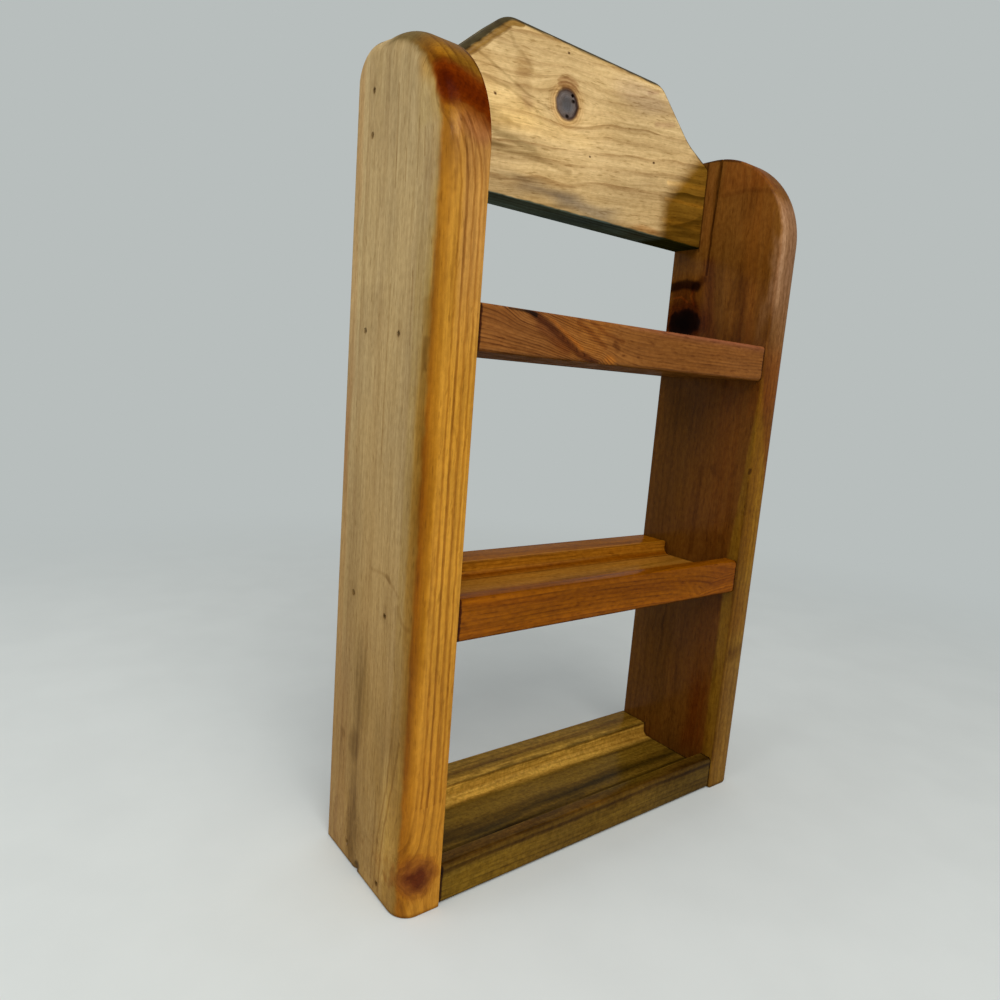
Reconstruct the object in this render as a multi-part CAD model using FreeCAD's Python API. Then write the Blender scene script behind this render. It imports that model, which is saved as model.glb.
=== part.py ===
import FreeCAD
import Part
import math
import os

# Wall-mounted spice rack: two sides, three grooved shelves and a header board, nailed together through
# the sides and hung from two keyhole plates let into the back of the header.
# Millimetres. X runs along the width, Y from the front to the wall, Z up.
# The origin is under the middle of the rack, on the plane that it stands on.

# Boards
rack_width = 236.5             # over the outer faces of the sides
rack_depth = 74.0              # from the front edges to the wall
side_thickness = 21.5
shelf_thickness = 19.0
header_thickness = 19.0

# Heights, from the base up
lower_bay_height = 104.5       # from the bottom shelf up to the middle shelf
middle_bay_height = 103.0      # from the middle shelf up to the upper shelf
upper_bay_height = 57.0        # from the upper shelf up to the header
header_end_height = 48.5       # of the header where it meets the sides
header_shoulder_rise = 31.5    # from the header's ends up to its flat top
side_reveal = 1.0              # how far the sides stand above the header's ends

# Rounded outlines and edges
side_front_radius = 52.0       # top front corner of a side
side_back_radius = 14.0        # top back corner of a side
header_top_width = 106.0       # the header's flat top, before its corners are rounded
header_corner_radius = 14.0
header_bend_inset = 16.75      # from the header's end to the bend where its shoulder flattens
header_bend_rise = 8.0         # from the header's end up to that bend
header_bend_radius = 40.0
front_edge_round = 9.5         # routed edge round the outer face of a side, up the front and round its top
top_end_round = 7.0            # the same edge where the top ends and the back corner starts
back_edge_ease = 2.0           # sanded outer edge along the wall
inner_edge_ease = 1.2          # sanded edge round the inner face of a side
header_edge_round = 6.0        # routed front edge of the header's top and shoulders
least_flat = 1.0               # flat wood left between two roundings
least_top_flat = 6.0           # flat wood left on top of a side

# Shelves, each with a groove along it that keeps the jars in place
shelf_setback = 1.0            # of a shelf's front behind the front edges of the sides
front_lip_width = 8.0
rear_lip_width = 20.0
groove_depth = 8.0
groove_cove_radius = 4.0
shelf_edge_round = 2.0

# Finishing nails, set below the face of the wood
nail_length = 38.0
nail_shank_radius = 0.9
nail_head_radius = 1.25
nail_head_height = 1.5
nail_point_length = 3.0
nail_set_depth = 1.5
nail_fit = 0.05

# Where the nails went in. A front nail is meant for the middle of the wood under the groove, and a back
# nail for the middle of the shelf's full thickness; the stray is how far above that it went in.
front_nail_setback = {"bottom": 20.5, "middle": 25.6, "upper": 26.4}    # behind the front edge
front_nail_stray = {"bottom": 1.0, "middle": 1.9, "upper": -0.8}
back_nail_setback = {"bottom": 22.7, "middle": 17.7, "upper": 17.8}     # ahead of the back edge
back_nail_stray = {"bottom": -1.0, "middle": -0.1, "upper": -3.3}
header_nail_height = {"lower": 10.6, "upper": 28.3}                     # above the header's underside
header_nail_setback = 16.0                                              # ahead of the back edge

# Keyhole plates in the back of the header
hanger_inset = 46.75           # from a side's inner face to the middle of the plate
hanger_length = 44.0
hanger_width = 16.0
hanger_thickness = 1.6
hanger_corner_radius = 4.0
hanger_sink = 0.2              # how far a plate lies below the face of the wood
hanger_fit = 0.3               # round a plate in its recess
keyhole_entry_radius = 4.75    # lets in the head of the wall screw
keyhole_slot_width = 4.8       # holds the neck of the wall screw
keyhole_rise = 9.0             # from the entry's centre up to the slot's end
pocket_depth = 9.0             # room for the wall screw's head, behind the plate
pocket_clearance = 0.8         # round the keyhole

# Countersunk screws that hold the plates
screw_inset = 5.0              # from the end of the plate
screw_length = 12.0
screw_shank_radius = 1.5
screw_head_radius = 2.9
screw_head_height = 1.6
screw_point_length = 3.0
screw_fit = 0.05
driver_cross_length = 3.4
driver_cross_width = 0.8
driver_cross_depth = 1.0

# Worked out from the sizes above
half_width = rack_width / 2
inner_half_width = half_width - side_thickness
front = -rack_depth / 2
back = rack_depth / 2
shelf_front = front + shelf_setback
shelf_undersides = {"bottom": 0.0}
shelf_undersides["middle"] = shelf_thickness + lower_bay_height
shelf_undersides["upper"] = shelf_undersides["middle"] + shelf_thickness + middle_bay_height
header_underside = shelf_undersides["upper"] + shelf_thickness + upper_bay_height
header_end_top = header_underside + header_end_height
header_top = header_end_top + header_shoulder_rise
side_height = header_end_top + side_reveal
header_front = back - header_thickness
hanger_x = inner_half_width - hanger_inset
hanger_z = (header_underside + header_top) / 2
hanger_face = back - hanger_sink
hanger_seat = hanger_face - hanger_thickness
entry_z = hanger_z - keyhole_rise / 2
slot_end_z = hanger_z + keyhole_rise / 2
screw_offset = hanger_length / 2 - screw_inset

blunt_tip_radius = 0.15        # of a nail or screw point
overrun = 5.0                  # how far a cut runs past the face that it starts from
touch = 1e-4                   # two coordinates this close are the same

Vector = FreeCAD.Vector
along_x = Vector(1, 0, 0)
along_y = Vector(0, 1, 0)


def rounded_face(corners, place):
    """Face inside straight runs joined by arcs.

    Args:
        corners: (u, v, radius) of each corner in turn; a radius of 0 leaves it sharp.
        place: function that turns u and v into a point in space.
    """
    starts = []
    ends = []
    edges = []
    for index, (u, v, radius) in enumerate(corners):
        corner = Vector(u, v, 0)
        next_corner = corners[(index + 1) % len(corners)]
        to_last = (Vector(corners[index - 1][0], corners[index - 1][1], 0) - corner).normalize()
        to_next = (Vector(next_corner[0], next_corner[1], 0) - corner).normalize()
        half_angle = to_last.getAngle(to_next) / 2
        start = corner + to_last * (radius / math.tan(half_angle))
        end = corner + to_next * (radius / math.tan(half_angle))
        starts.append(place(start.x, start.y))
        ends.append(place(end.x, end.y))
        if radius > 0:
            inward = (to_last + to_next).normalize()
            middle = corner + inward * (radius / math.sin(half_angle) - radius)
            edges.append(Part.Arc(starts[-1], place(middle.x, middle.y), ends[-1]).toShape())
    for index, end in enumerate(ends):
        edges.append(Part.LineSegment(end, starts[(index + 1) % len(starts)]).toShape())
    return Part.Face(Part.Wire(Part.__sortEdges__(edges)))


def on_yz(x):
    """Placer for outlines drawn across the rack, u along Y and v along Z, at the given X."""
    return lambda u, v: Vector(x, u, v)


def on_xz(y):
    """Placer for outlines drawn along the wall, u along X and v along Z, at the given Y."""
    return lambda u, v: Vector(u, y, v)


def turned(profile):
    """Solid of revolution about the X axis from (x, radius) points, closed along the axis."""
    points = [Vector(x, radius, 0) for x, radius in profile]
    face = Part.Face(Part.makePolygon(points + points[:1]))
    return face.revolve(Vector(0, 0, 0), along_x, 360)


def eased(shape, radius, accepts):
    """Shape with the edges whose bounding boxes pass the test rounded to the radius."""
    return shape.makeFillet(radius, [edge for edge in shape.Edges if accepts(edge.BoundBox)])


def routed(shape, radius_at, accepts):
    """Shape with edges rounded to radii that may change along each edge.

    Args:
        shape: solid to round.
        radius_at: function that gives the radius at an end of an edge from the point there.
        accepts: test that the bounding boxes of the rounded edges pass.
    """
    document = FreeCAD.newDocument()
    base = document.addObject("Part::Feature", "Base")
    base.Shape = shape
    rounding = document.addObject("Part::Fillet", "Rounding")
    rounding.Base = base
    radii = []
    for number, edge in enumerate(shape.Edges, 1):
        if accepts(edge.BoundBox):
            start = edge.valueAt(edge.FirstParameter)
            end = edge.valueAt(edge.LastParameter)
            radii.append((number, radius_at(start), radius_at(end)))
    rounding.Edges = radii
    document.recompute()
    rounded = rounding.Shape.copy()
    FreeCAD.closeDocument(document.Name)
    return rounded


def mirrored(shape):
    """The same piece on the other side of the rack's middle plane."""
    return shape.mirror(Vector(0, 0, 0), along_x)


def nail(grow):
    """Finishing nail from its head at the origin along +X, fatter and longer by a clearance."""
    shank_radius = nail_shank_radius + grow
    head_radius = nail_head_radius + grow
    return turned([
        (0, 0),
        (0, head_radius),
        (nail_head_height, head_radius),
        (nail_head_height, shank_radius),
        (nail_length - nail_point_length, shank_radius),
        (nail_length + grow, blunt_tip_radius + grow),
        (nail_length + grow, 0),
    ])


def nail_cavity():
    """Space of a nail in the wood, with the hole above its sunken head open to the outside."""
    set_hole = Part.makeCylinder(
        nail_head_radius + nail_fit, nail_set_depth + overrun, Vector(0, 0, 0), along_x * -1)
    return nail(nail_fit).fuse(set_hole)


def nail_places():
    """Name and head position of each nail in the left side."""
    places = {}
    x = -half_width + nail_set_depth
    groove_floor = shelf_thickness - groove_depth
    for shelf, underside in shelf_undersides.items():
        places[shelf + "_shelf_front"] = Vector(
            x, front + front_nail_setback[shelf], underside + groove_floor / 2 + front_nail_stray[shelf])
        places[shelf + "_shelf_back"] = Vector(
            x, back - back_nail_setback[shelf], underside + shelf_thickness / 2 + back_nail_stray[shelf])
    for spot, height in header_nail_height.items():
        places["header_" + spot] = Vector(x, back - header_nail_setback, header_underside + height)
    return places


def screw(grow):
    """Countersunk screw from its head at the origin along +X, fatter and longer by a clearance."""
    shank_radius = screw_shank_radius + grow
    return turned([
        (0, 0),
        (0, screw_head_radius + grow),
        (screw_head_height, shank_radius),
        (screw_length - screw_point_length, shank_radius),
        (screw_length + grow, blunt_tip_radius + grow),
        (screw_length + grow, 0),
    ])


def crossed_screw():
    """Plate screw with the cross for the driver cut into its head."""
    shape = screw(0)
    for width, height in (
            (driver_cross_length, driver_cross_width), (driver_cross_width, driver_cross_length)):
        arm = Part.makeBox(driver_cross_depth + overrun, width, height)
        arm.translate(Vector(-overrun, -width / 2, -height / 2))
        shape = shape.cut(arm)
    return shape


def in_header_back(shape, height):
    """A fastener drawn along +X, turned to run into the left plate from the wall's side."""
    placed = shape.copy()
    placed.rotate(Vector(0, 0, 0), Vector(0, 0, 1), -90)
    placed.translate(Vector(-hanger_x, hanger_face, height))
    return placed


def screw_heights():
    """Height of each screw in a plate."""
    return {"lower": hanger_z - screw_offset, "upper": hanger_z + screw_offset}


def keyhole(grow, start, end):
    """Keyhole of the left plate, wider by a clearance, from one Y to another."""
    length = end - start
    entry = Part.makeCylinder(
        keyhole_entry_radius + grow, length, Vector(-hanger_x, start, entry_z), along_y)
    slot_radius = keyhole_slot_width / 2 + grow
    slot_end = Part.makeCylinder(slot_radius, length, Vector(-hanger_x, start, slot_end_z), along_y)
    slot = Part.makeBox(2 * slot_radius, length, slot_end_z - entry_z)
    slot.translate(Vector(-hanger_x - slot_radius, start, entry_z))
    return entry.fuse([slot_end, slot]).removeSplitter()


def hanger_block(grow, start, end):
    """Block of the left plate's outline, wider by a clearance, from one Y to another."""
    reach_x = hanger_width / 2 + grow
    reach_z = hanger_length / 2 + grow
    radius = hanger_corner_radius + grow
    face = rounded_face([
        (-hanger_x - reach_x, hanger_z - reach_z, radius),
        (-hanger_x + reach_x, hanger_z - reach_z, radius),
        (-hanger_x + reach_x, hanger_z + reach_z, radius),
        (-hanger_x - reach_x, hanger_z + reach_z, radius),
    ], on_xz(start))
    return face.extrude(along_y * (end - start))


def screw_head_pocket():
    """Room behind the left plate where the wall screw's head slides from the entry up to the slot's end."""
    radius = keyhole_entry_radius + pocket_clearance
    face = rounded_face([
        (-hanger_x - radius, entry_z - radius, radius - least_flat),
        (-hanger_x + radius, entry_z - radius, radius - least_flat),
        (-hanger_x + radius, slot_end_z + radius, radius - least_flat),
        (-hanger_x - radius, slot_end_z + radius, radius - least_flat),
    ], on_xz(hanger_seat - pocket_depth))
    return face.extrude(along_y * (pocket_depth + overrun))


def hanger_plate():
    """Left keyhole plate, with countersunk holes for its screws."""
    plate = hanger_block(0, hanger_seat, hanger_face)
    plate = plate.cut(keyhole(0, hanger_seat - overrun, hanger_face + overrun))
    for height in screw_heights().values():
        plate = plate.cut(in_header_back(screw(screw_fit), height))
    return plate


def side_round_at(point):
    """Radius of a side's outer edge at a point: wide in front, narrower where the top ends, slight at the wall."""
    widest = side_thickness - inner_edge_ease - least_flat
    if point.y > back - touch:
        return min(back_edge_ease, widest)
    if point.y > back - side_back_radius - touch:
        return min(top_end_round, widest, side_back_radius - least_flat)
    return min(front_edge_round, widest)


def side_board():
    """Left side with its rounded top, routed outer edge and nail holes."""
    front_radius = min(side_front_radius, rack_depth - side_back_radius - least_top_flat)
    face = rounded_face([
        (front, 0, 0),
        (back, 0, 0),
        (back, side_height, side_back_radius),
        (front, side_height, front_radius),
    ], on_yz(-half_width))
    board = face.extrude(along_x * side_thickness)
    board = routed(
        board, side_round_at, lambda box: box.XMax < -half_width + touch and box.ZMax > touch)
    inner = -inner_half_width
    board = eased(board, inner_edge_ease, lambda box: box.XMin > inner - touch and box.ZMax > touch)
    for place in nail_places().values():
        board = board.cut(nail_cavity().translated(place))
    return board


def shelf_board(shelf):
    """Shelf with its groove, eased front edges and the nail holes in its ends."""
    underside = shelf_undersides[shelf]
    top = underside + shelf_thickness
    floor = top - groove_depth
    groove_front = shelf_front + front_lip_width
    groove_back = back - rear_lip_width
    cove = min(groove_cove_radius, groove_depth - least_flat)
    face = rounded_face([
        (shelf_front, underside, shelf_edge_round),
        (back, underside, 0),
        (back, top, 0),
        (groove_back, top, 0),
        (groove_back, floor, cove),
        (groove_front, floor, cove),
        (groove_front, top, 0),
        (shelf_front, top, shelf_edge_round),
    ], on_yz(-inner_half_width))
    board = face.extrude(along_x * (2 * inner_half_width))
    for name, place in nail_places().items():
        if name.startswith(shelf):
            cavity = nail_cavity().translated(place)
            board = board.cut([cavity, mirrored(cavity)])
    return board


def header_board():
    """Header with rounded shoulders, nail holes in its ends and the plates' recesses in its back."""
    half_top = header_top_width / 2
    bend_x = inner_half_width - header_bend_inset
    bend_z = header_end_top + header_bend_rise
    face = rounded_face([
        (-inner_half_width, header_underside, 0),
        (inner_half_width, header_underside, 0),
        (inner_half_width, header_end_top, 0),
        (bend_x, bend_z, header_bend_radius),
        (half_top, header_top, header_corner_radius),
        (-half_top, header_top, header_corner_radius),
        (-bend_x, bend_z, header_bend_radius),
        (-inner_half_width, header_end_top, 0),
    ], on_xz(header_front))
    board = face.extrude(along_y * header_thickness)
    round_radius = min(header_edge_round, header_corner_radius - least_flat)
    board = eased(
        board, round_radius,
        lambda box: box.YMax < header_front + touch and box.ZMax > header_end_top + touch)
    cavities = [hanger_block(hanger_fit, hanger_seat, back + overrun), screw_head_pocket()]
    for height in screw_heights().values():
        cavities.append(in_header_back(screw(screw_fit), height))
    for name, place in nail_places().items():
        if name.startswith("header"):
            cavities.append(nail_cavity().translated(place))
    for cavity in cavities:
        board = board.cut([cavity, mirrored(cavity)])
    return board


def save(shape, node):
    """Write one piece under its node's name."""
    shape.exportStep("parts/" + node + ".step")


def save_pair(shape, node):
    """Write a piece of the left half and its mirror image in the right half."""
    save(shape, "left_" + node)
    save(mirrored(shape), "right_" + node)


os.makedirs("parts", exist_ok=True)

save_pair(side_board(), "side_board")
save(header_board(), "header_board")
for shelf_name in shelf_undersides:
    save(shelf_board(shelf_name), shelf_name + "_shelf")
for nail_name, nail_head in nail_places().items():
    save_pair(nail(0).translated(nail_head), nail_name + "_nail")
save_pair(hanger_plate(), "hanger_plate")
for screw_name, screw_height in screw_heights().items():
    save_pair(in_header_back(crossed_screw(), screw_height), "hanger_" + screw_name + "_screw")
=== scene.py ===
"""Wall-mounted spice rack in varnished pine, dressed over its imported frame.

Sizes in the classes are millimetres in the rack's own frame: X along the width, Y from the front to the
wall, Z up from the base. Meshes are made in metres. The colours of woods, steels and floor are screen values
from 0 to 255, and a factor multiplies a colour.
"""

import logging
import math
import random
from dataclasses import dataclass, field
from enum import Enum
from functools import reduce
from typing import Iterable, Sequence, Union

import bmesh
import bpy
from mathutils import Euler, Matrix, Vector


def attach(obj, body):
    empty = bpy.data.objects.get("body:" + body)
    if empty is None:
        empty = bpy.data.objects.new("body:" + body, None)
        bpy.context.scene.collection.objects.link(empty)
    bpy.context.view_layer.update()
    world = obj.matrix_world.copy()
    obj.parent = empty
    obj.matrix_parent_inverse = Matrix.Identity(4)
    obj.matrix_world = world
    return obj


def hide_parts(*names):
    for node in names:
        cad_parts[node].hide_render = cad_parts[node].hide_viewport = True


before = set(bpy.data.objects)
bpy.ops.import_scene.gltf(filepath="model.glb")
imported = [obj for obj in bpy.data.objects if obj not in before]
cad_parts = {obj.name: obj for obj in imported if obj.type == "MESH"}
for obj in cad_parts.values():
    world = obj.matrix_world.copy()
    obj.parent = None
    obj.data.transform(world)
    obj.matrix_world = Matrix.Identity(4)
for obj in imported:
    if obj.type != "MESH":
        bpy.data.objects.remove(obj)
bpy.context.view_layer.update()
log = logging.getLogger("spice_rack")

MM = 0.001
PER_METRE = 1000.0
SHARP_ANGLE = math.radians(32)
QUARTER = math.pi / 2
FLOAT = "NodeSocketFloat"
VECTOR = "NodeSocketVector"
Point = tuple[float, float, float]
Colour = tuple[float, float, float]
Flat = tuple[float, float]
Socket = bpy.types.NodeSocket
Outputs = bpy.types.bpy_prop_collection
Material = bpy.types.Material
Mesh = bpy.types.Mesh
Piece = bpy.types.Object
Feed = Union[Socket, float, Sequence[float]]
Feeds = dict[Union[str, int], Feed]


def linear(colour: Colour) -> tuple[float, float, float, float]:
    """Linear colour with an alpha of 1, as a shader socket takes it, of screen values from 0 to 255."""
    shares = [value / 255 for value in colour]
    return (*(part / 12.92 if part <= 0.04045 else ((part + 0.055) / 1.055) ** 2.4 for part in shares), 1.0)


class Grain(Enum):
    """Way that the grain runs in a board, with the turn that lays it along the local Z axis."""

    UPRIGHT = Matrix(((1, 0, 0), (0, 1, 0), (0, 0, 1)))
    LENGTHWISE = Matrix(((0, 1, 0), (0, 0, 1), (1, 0, 0)))

    def local(self, point: Point) -> Vector:
        """A point or direction of the rack, in the board's own axes."""
        return self.value @ Vector(point)


class ZoneShape(Enum):
    """Form of a soft-edged region in the wood."""

    BLOCK = "block"
    BALL = "ball"


class NodeSheet:
    """Short ways to draw one node tree."""

    def __init__(self, tree: bpy.types.NodeTree) -> None:
        """Start on an empty tree."""
        self.tree = tree
        self.tree.nodes.clear()

    def add(self, kind: str, feeds: Feeds | None = None, **settings: object) -> bpy.types.Node:
        """Add a node, set its properties and fill its inputs.

        Args:
            kind: Blender's name of the node type.
            feeds: Value or socket for inputs, by name or number.
            **settings: Properties to set on it.

        Returns:
            The new node.
        """
        node = self.tree.nodes.new(kind)
        for name, value in settings.items():
            setattr(node, name, value)
        for key, value in (feeds or {}).items():
            self.feed(node.inputs[key], value)
        return node

    def feed(self, socket: Socket, value: Feed) -> None:
        """Link a socket into another, or set its plain value.

        Args:
            socket: Input to fill.
            value: Output socket, number, vector or colour.
        """
        if isinstance(value, Socket):
            self.tree.links.new(value, socket)
        else:
            socket.default_value = value

    def sums(self, operation: str, *values: Feed) -> Socket:
        """Result of a Math node on the values."""
        return self.add("ShaderNodeMath", dict(enumerate(values)), operation=operation).outputs[0]

    def fold(self, operation: str, values: Sequence[Feed]) -> Feed:
        """One value or more, made one by Math nodes in a row."""
        return reduce(lambda result, value: self.sums(operation, result, value), values)

    def vector(self, operation: str, *values: Feed) -> Socket:
        """Result of a Vector Math node.

        Args:
            operation: Name of the operation.
            *values: Its inputs in order; the second input of SCALE is the factor.

        Returns:
            The vector socket, or the value socket of a length or dot product.
        """
        keys = (0, "Scale") if operation == "SCALE" else (0, 1, 2)
        node = self.add("ShaderNodeVectorMath", dict(zip(keys, values)), operation=operation)
        gives_number = operation in ("DOT_PRODUCT", "LENGTH", "DISTANCE")
        return node.outputs[1 if gives_number else 0]

    def position(self) -> Socket:
        """Object coordinates in millimetres."""
        return self.vector("SCALE", self.add("ShaderNodeTexCoord").outputs["Object"], PER_METRE)

    def fade(self, value: Feed, start: Feed, end: Feed) -> Socket:
        """Smooth step of a value from 0 at start to 1 at end; start may be the larger."""
        feeds = {"Value": value, "From Min": start, "From Max": end}
        return self.add("ShaderNodeMapRange", feeds, interpolation_type="SMOOTHSTEP").outputs[0]

    def blend(self, share: Feed, below: Feed, above: Feed, mode: str = "MIX") -> Socket:
        """Share of one colour laid over another in a blend mode."""
        feeds = {0: share, 6: below, 7: above}
        return self.add("ShaderNodeMix", feeds, data_type="RGBA", blend_type=mode).outputs[2]

    def noise(self, position: Feed, stretch: Point, detail: float = 2.0, rough: float = 0.5) -> Outputs:
        """Outputs of a noise that has so many cells to the millimetre along each axis."""
        feeds = {
            0: self.vector("MULTIPLY", position, stretch), "Scale": 1.0,
            "Detail": detail, "Roughness": rough}
        return self.add("ShaderNodeTexNoise", feeds).outputs

    def scatter(self, position: Feed, stretch: Point, reach: Feed) -> Socket:
        """Position pushed about by noise, over a full width of reach."""
        push = self.vector("SUBTRACT", self.noise(position, stretch, detail=1.0)["Color"], (0.5, 0.5, 0.5))
        return self.vector("ADD", position, self.vector("SCALE", push, reach))

    def close(self, shader: Socket, kind: str = "ShaderNodeOutputMaterial") -> None:
        """End the tree in an output node."""
        self.add(kind, {"Surface": shader})


def new_material(name: str) -> tuple[Material, NodeSheet]:
    """Material with an empty node tree.

    Args:
        name: Name of the material.

    Returns:
        The material and the sheet that draws on it.
    """
    material = bpy.data.materials.new(name)
    material.use_nodes = True
    return material, NodeSheet(material.node_tree)


class ShaderGroup(NodeSheet):
    """A shader node group with named inputs and outputs, built once and placed in many materials."""

    def __init__(
            self, name: str, vectors: Sequence[str], numbers: Sequence[str], outputs: dict[str, str],
    ) -> None:
        """Make the empty group.

        Args:
            name: Name of the group.
            vectors: Names of its vector inputs.
            numbers: Names of its number inputs.
            outputs: Socket type of each named output.
        """
        super().__init__(bpy.data.node_groups.new(name, "ShaderNodeTree"))
        sockets = [(vector, "INPUT", VECTOR) for vector in vectors]
        sockets += [(number, "INPUT", FLOAT) for number in numbers]
        sockets += [(output, "OUTPUT", kind) for output, kind in outputs.items()]
        for socket, way, kind in sockets:
            self.tree.interface.new_socket(name=socket, in_out=way, socket_type=kind)
        self.given = self.add("NodeGroupInput").outputs
        self.result = self.add("NodeGroupOutput").inputs

    def give(self, **values: Socket) -> "ShaderGroup":
        """Link the group's outputs.

        Args:
            **values: Socket for each named output.

        Returns:
            The group.
        """
        for name, value in values.items():
            self.feed(self.result[name], value)
        return self

    def place(self, sheet: NodeSheet, feeds: Feeds) -> Outputs:
        """The outputs of this group in another tree, with a value or socket for each named input."""
        return sheet.add("ShaderNodeGroup", feeds, node_tree=self.tree).outputs


class WoodGroups:
    """Shader groups that every board shares."""

    def __init__(self) -> None:
        """Build each group once."""
        self.knot = self._knot()
        self.rings = self._rings()
        self.fibres = self._fibres()
        self.block = self._block()
        self.ball = self._ball()
        self.stroke = self._stroke()
        self.varnish = self._varnish()

    @staticmethod
    def _knot() -> ShaderGroup:
        """Round branch in the wood, with the grain pushed aside as it passes.

        Returns:
            The group.
        """
        group = ShaderGroup(
            "branch_knot", ("Position", "Flow", "Centre", "Across", "Along"),
            ("Half Width", "Half Length", "Reach", "Wobble"), {"Flow": VECTOR, "Distance": FLOAT})
        given = group.given
        lobed = group.scatter(given["Position"], (0.16, 0.16, 0.13), given["Wobble"])
        ragged = group.scatter(lobed, (0.5, 0.5, 0.4), group.sums("MULTIPLY", given["Wobble"], 0.4))
        offset = group.vector("SUBTRACT", ragged, given["Centre"])
        across = group.vector("DOT_PRODUCT", offset, given["Across"])
        along = group.vector("DOT_PRODUCT", offset, given["Along"])
        share_across = group.sums("POWER", group.sums("DIVIDE", across, given["Half Width"]), 2.0)
        share_along = group.sums("POWER", group.sums("DIVIDE", along, given["Half Length"]), 2.0)
        distance = group.sums("SQRT", group.sums("ADD", share_across, share_along))
        far = group.sums("POWER", group.sums("DIVIDE", along, given["Reach"]), 2.0)
        aside = group.sums("MULTIPLY", share_across, 0.45)
        fall = group.sums("EXPONENT", group.sums("MULTIPLY", group.sums("ADD", far, aside), -1.0))
        shift = group.sums("MULTIPLY", group.sums("MULTIPLY", across, fall), -0.8)
        moved = group.vector("ADD", given["Flow"], group.vector("SCALE", given["Across"], shift))
        return group.give(Flow=moved, Distance=distance)

    @staticmethod
    def _rings() -> ShaderGroup:
        """Yearly rings about the pith, each with its own depth of late wood, broken up along the grain.

        Returns:
            The group.
        """
        group = ShaderGroup(
            "yearly_rings", ("Position", "Pith"), ("Spacing", "Wander", "Late Start"),
            {"Late": FLOAT, "Tone": FLOAT})
        given = group.given
        bent = group.scatter(given["Position"], (0.014, 0.014, 0.005), given["Wander"])
        rippled = group.scatter(bent, (0.1, 0.1, 0.022), group.sums("MULTIPLY", given["Wander"], 0.2))
        spoke = group.vector("MULTIPLY", group.vector("SUBTRACT", rippled, given["Pith"]), (1.0, 1.0, 0.0))
        count = group.sums("DIVIDE", group.vector("LENGTH", spoke), given["Spacing"])
        part = group.sums("FRACT", count)
        year = group.add("ShaderNodeTexWhiteNoise", {"W": group.sums("FLOOR", count)}, noise_dimensions="1D")
        tone = year.outputs["Value"]
        grown = group.fade(part, given["Late Start"], 0.9)
        ended = group.fade(part, 1.0, 0.94)
        depth = group.sums("MULTIPLY_ADD", tone, 0.6, 0.4)
        gaps = group.noise(given["Position"], (0.22, 0.22, 0.03))["Fac"]
        broken = group.sums("MULTIPLY_ADD", group.fade(gaps, 0.36, 0.6), 0.6, 0.4)
        worn = group.sums("MULTIPLY", depth, broken)
        return group.give(Late=group.sums("MULTIPLY", group.sums("MINIMUM", grown, ended), worn), Tone=tone)

    @staticmethod
    def _fibres() -> ShaderGroup:
        """Fibres, short dark pores, coarse streaks, small mottles and slow clouds, all along the grain.

        Returns:
            The group.
        """
        grades = {
            "Fine": ((1.25, 1.25, 0.05), 3.0, 0.34, 0.68),
            "Pore": ((0.9, 0.9, 0.13), 2.0, 0.58, 0.72),
            "Streak": ((0.26, 0.26, 0.01), 3.0, 0.34, 0.68),
            "Mottle": ((0.55, 0.55, 0.3), 3.0, 0.36, 0.66),
            "Cloud": ((0.035, 0.035, 0.014), 2.0, 0.32, 0.68),
        }
        group = ShaderGroup("wood_fibres", ("Position",), (), dict.fromkeys(grades, FLOAT))
        for shift, (name, (stretch, detail, low, high)) in enumerate(grades.items()):
            apart = group.vector("ADD", group.given["Position"], (17.0 * shift, 31.0 * shift, 53.0 * shift))
            grade = group.noise(apart, stretch, detail, 0.58)["Fac"]
            group.give(**{name: group.fade(grade, low, high)})
        return group

    @staticmethod
    def _block() -> ShaderGroup:
        """Soft-edged block that may lean along the grain.

        Returns:
            The group.
        """
        group = ShaderGroup(
            "soft_block", ("Position", "Centre", "Half Size", "Lean", "Softness"), (), {"Mask": FLOAT})
        given = group.given
        offset = group.vector("SUBTRACT", given["Position"], given["Centre"])
        height = group.vector("DOT_PRODUCT", offset, (0.0, 0.0, 1.0))
        upright = group.vector("SUBTRACT", offset, group.vector("SCALE", given["Lean"], height))
        over = group.vector("SUBTRACT", group.vector("ABSOLUTE", upright), given["Half Size"])
        parts = group.add("ShaderNodeSeparateXYZ", {0: group.vector("DIVIDE", over, given["Softness"])})
        most = group.fold("MAXIMUM", list(parts.outputs))
        return group.give(Mask=group.fade(most, 1.0, -1.0))

    @staticmethod
    def _ball() -> ShaderGroup:
        """Soft-edged ellipsoid.

        Returns:
            The group.
        """
        group = ShaderGroup("soft_ball", ("Position", "Centre", "Half Size"), (), {"Mask": FLOAT})
        given = group.given
        offset = group.vector("SUBTRACT", given["Position"], given["Centre"])
        reach = group.vector("LENGTH", group.vector("DIVIDE", offset, given["Half Size"]))
        return group.give(Mask=group.fade(reach, 1.4, 0.5))

    @staticmethod
    def _stroke() -> ShaderGroup:
        """Soft line between two points, and the distance from it.

        Returns:
            The group.
        """
        group = ShaderGroup(
            "soft_stroke", ("Position", "Start", "End"), ("Half Width", "Softness"),
            {"Mask": FLOAT, "Distance": FLOAT})
        given = group.given
        run = group.vector("SUBTRACT", given["End"], given["Start"])
        offset = group.vector("SUBTRACT", given["Position"], given["Start"])
        length = group.vector("DOT_PRODUCT", run, run)
        part = group.sums("DIVIDE", group.vector("DOT_PRODUCT", offset, run), length)
        along = group.sums("MINIMUM", group.sums("MAXIMUM", part, 0.0), 1.0)
        foot = group.vector("SCALE", run, along)
        distance = group.vector("DISTANCE", offset, foot)
        edge = group.sums("ADD", given["Half Width"], given["Softness"])
        return group.give(Mask=group.fade(distance, edge, given["Half Width"]), Distance=distance)

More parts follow.
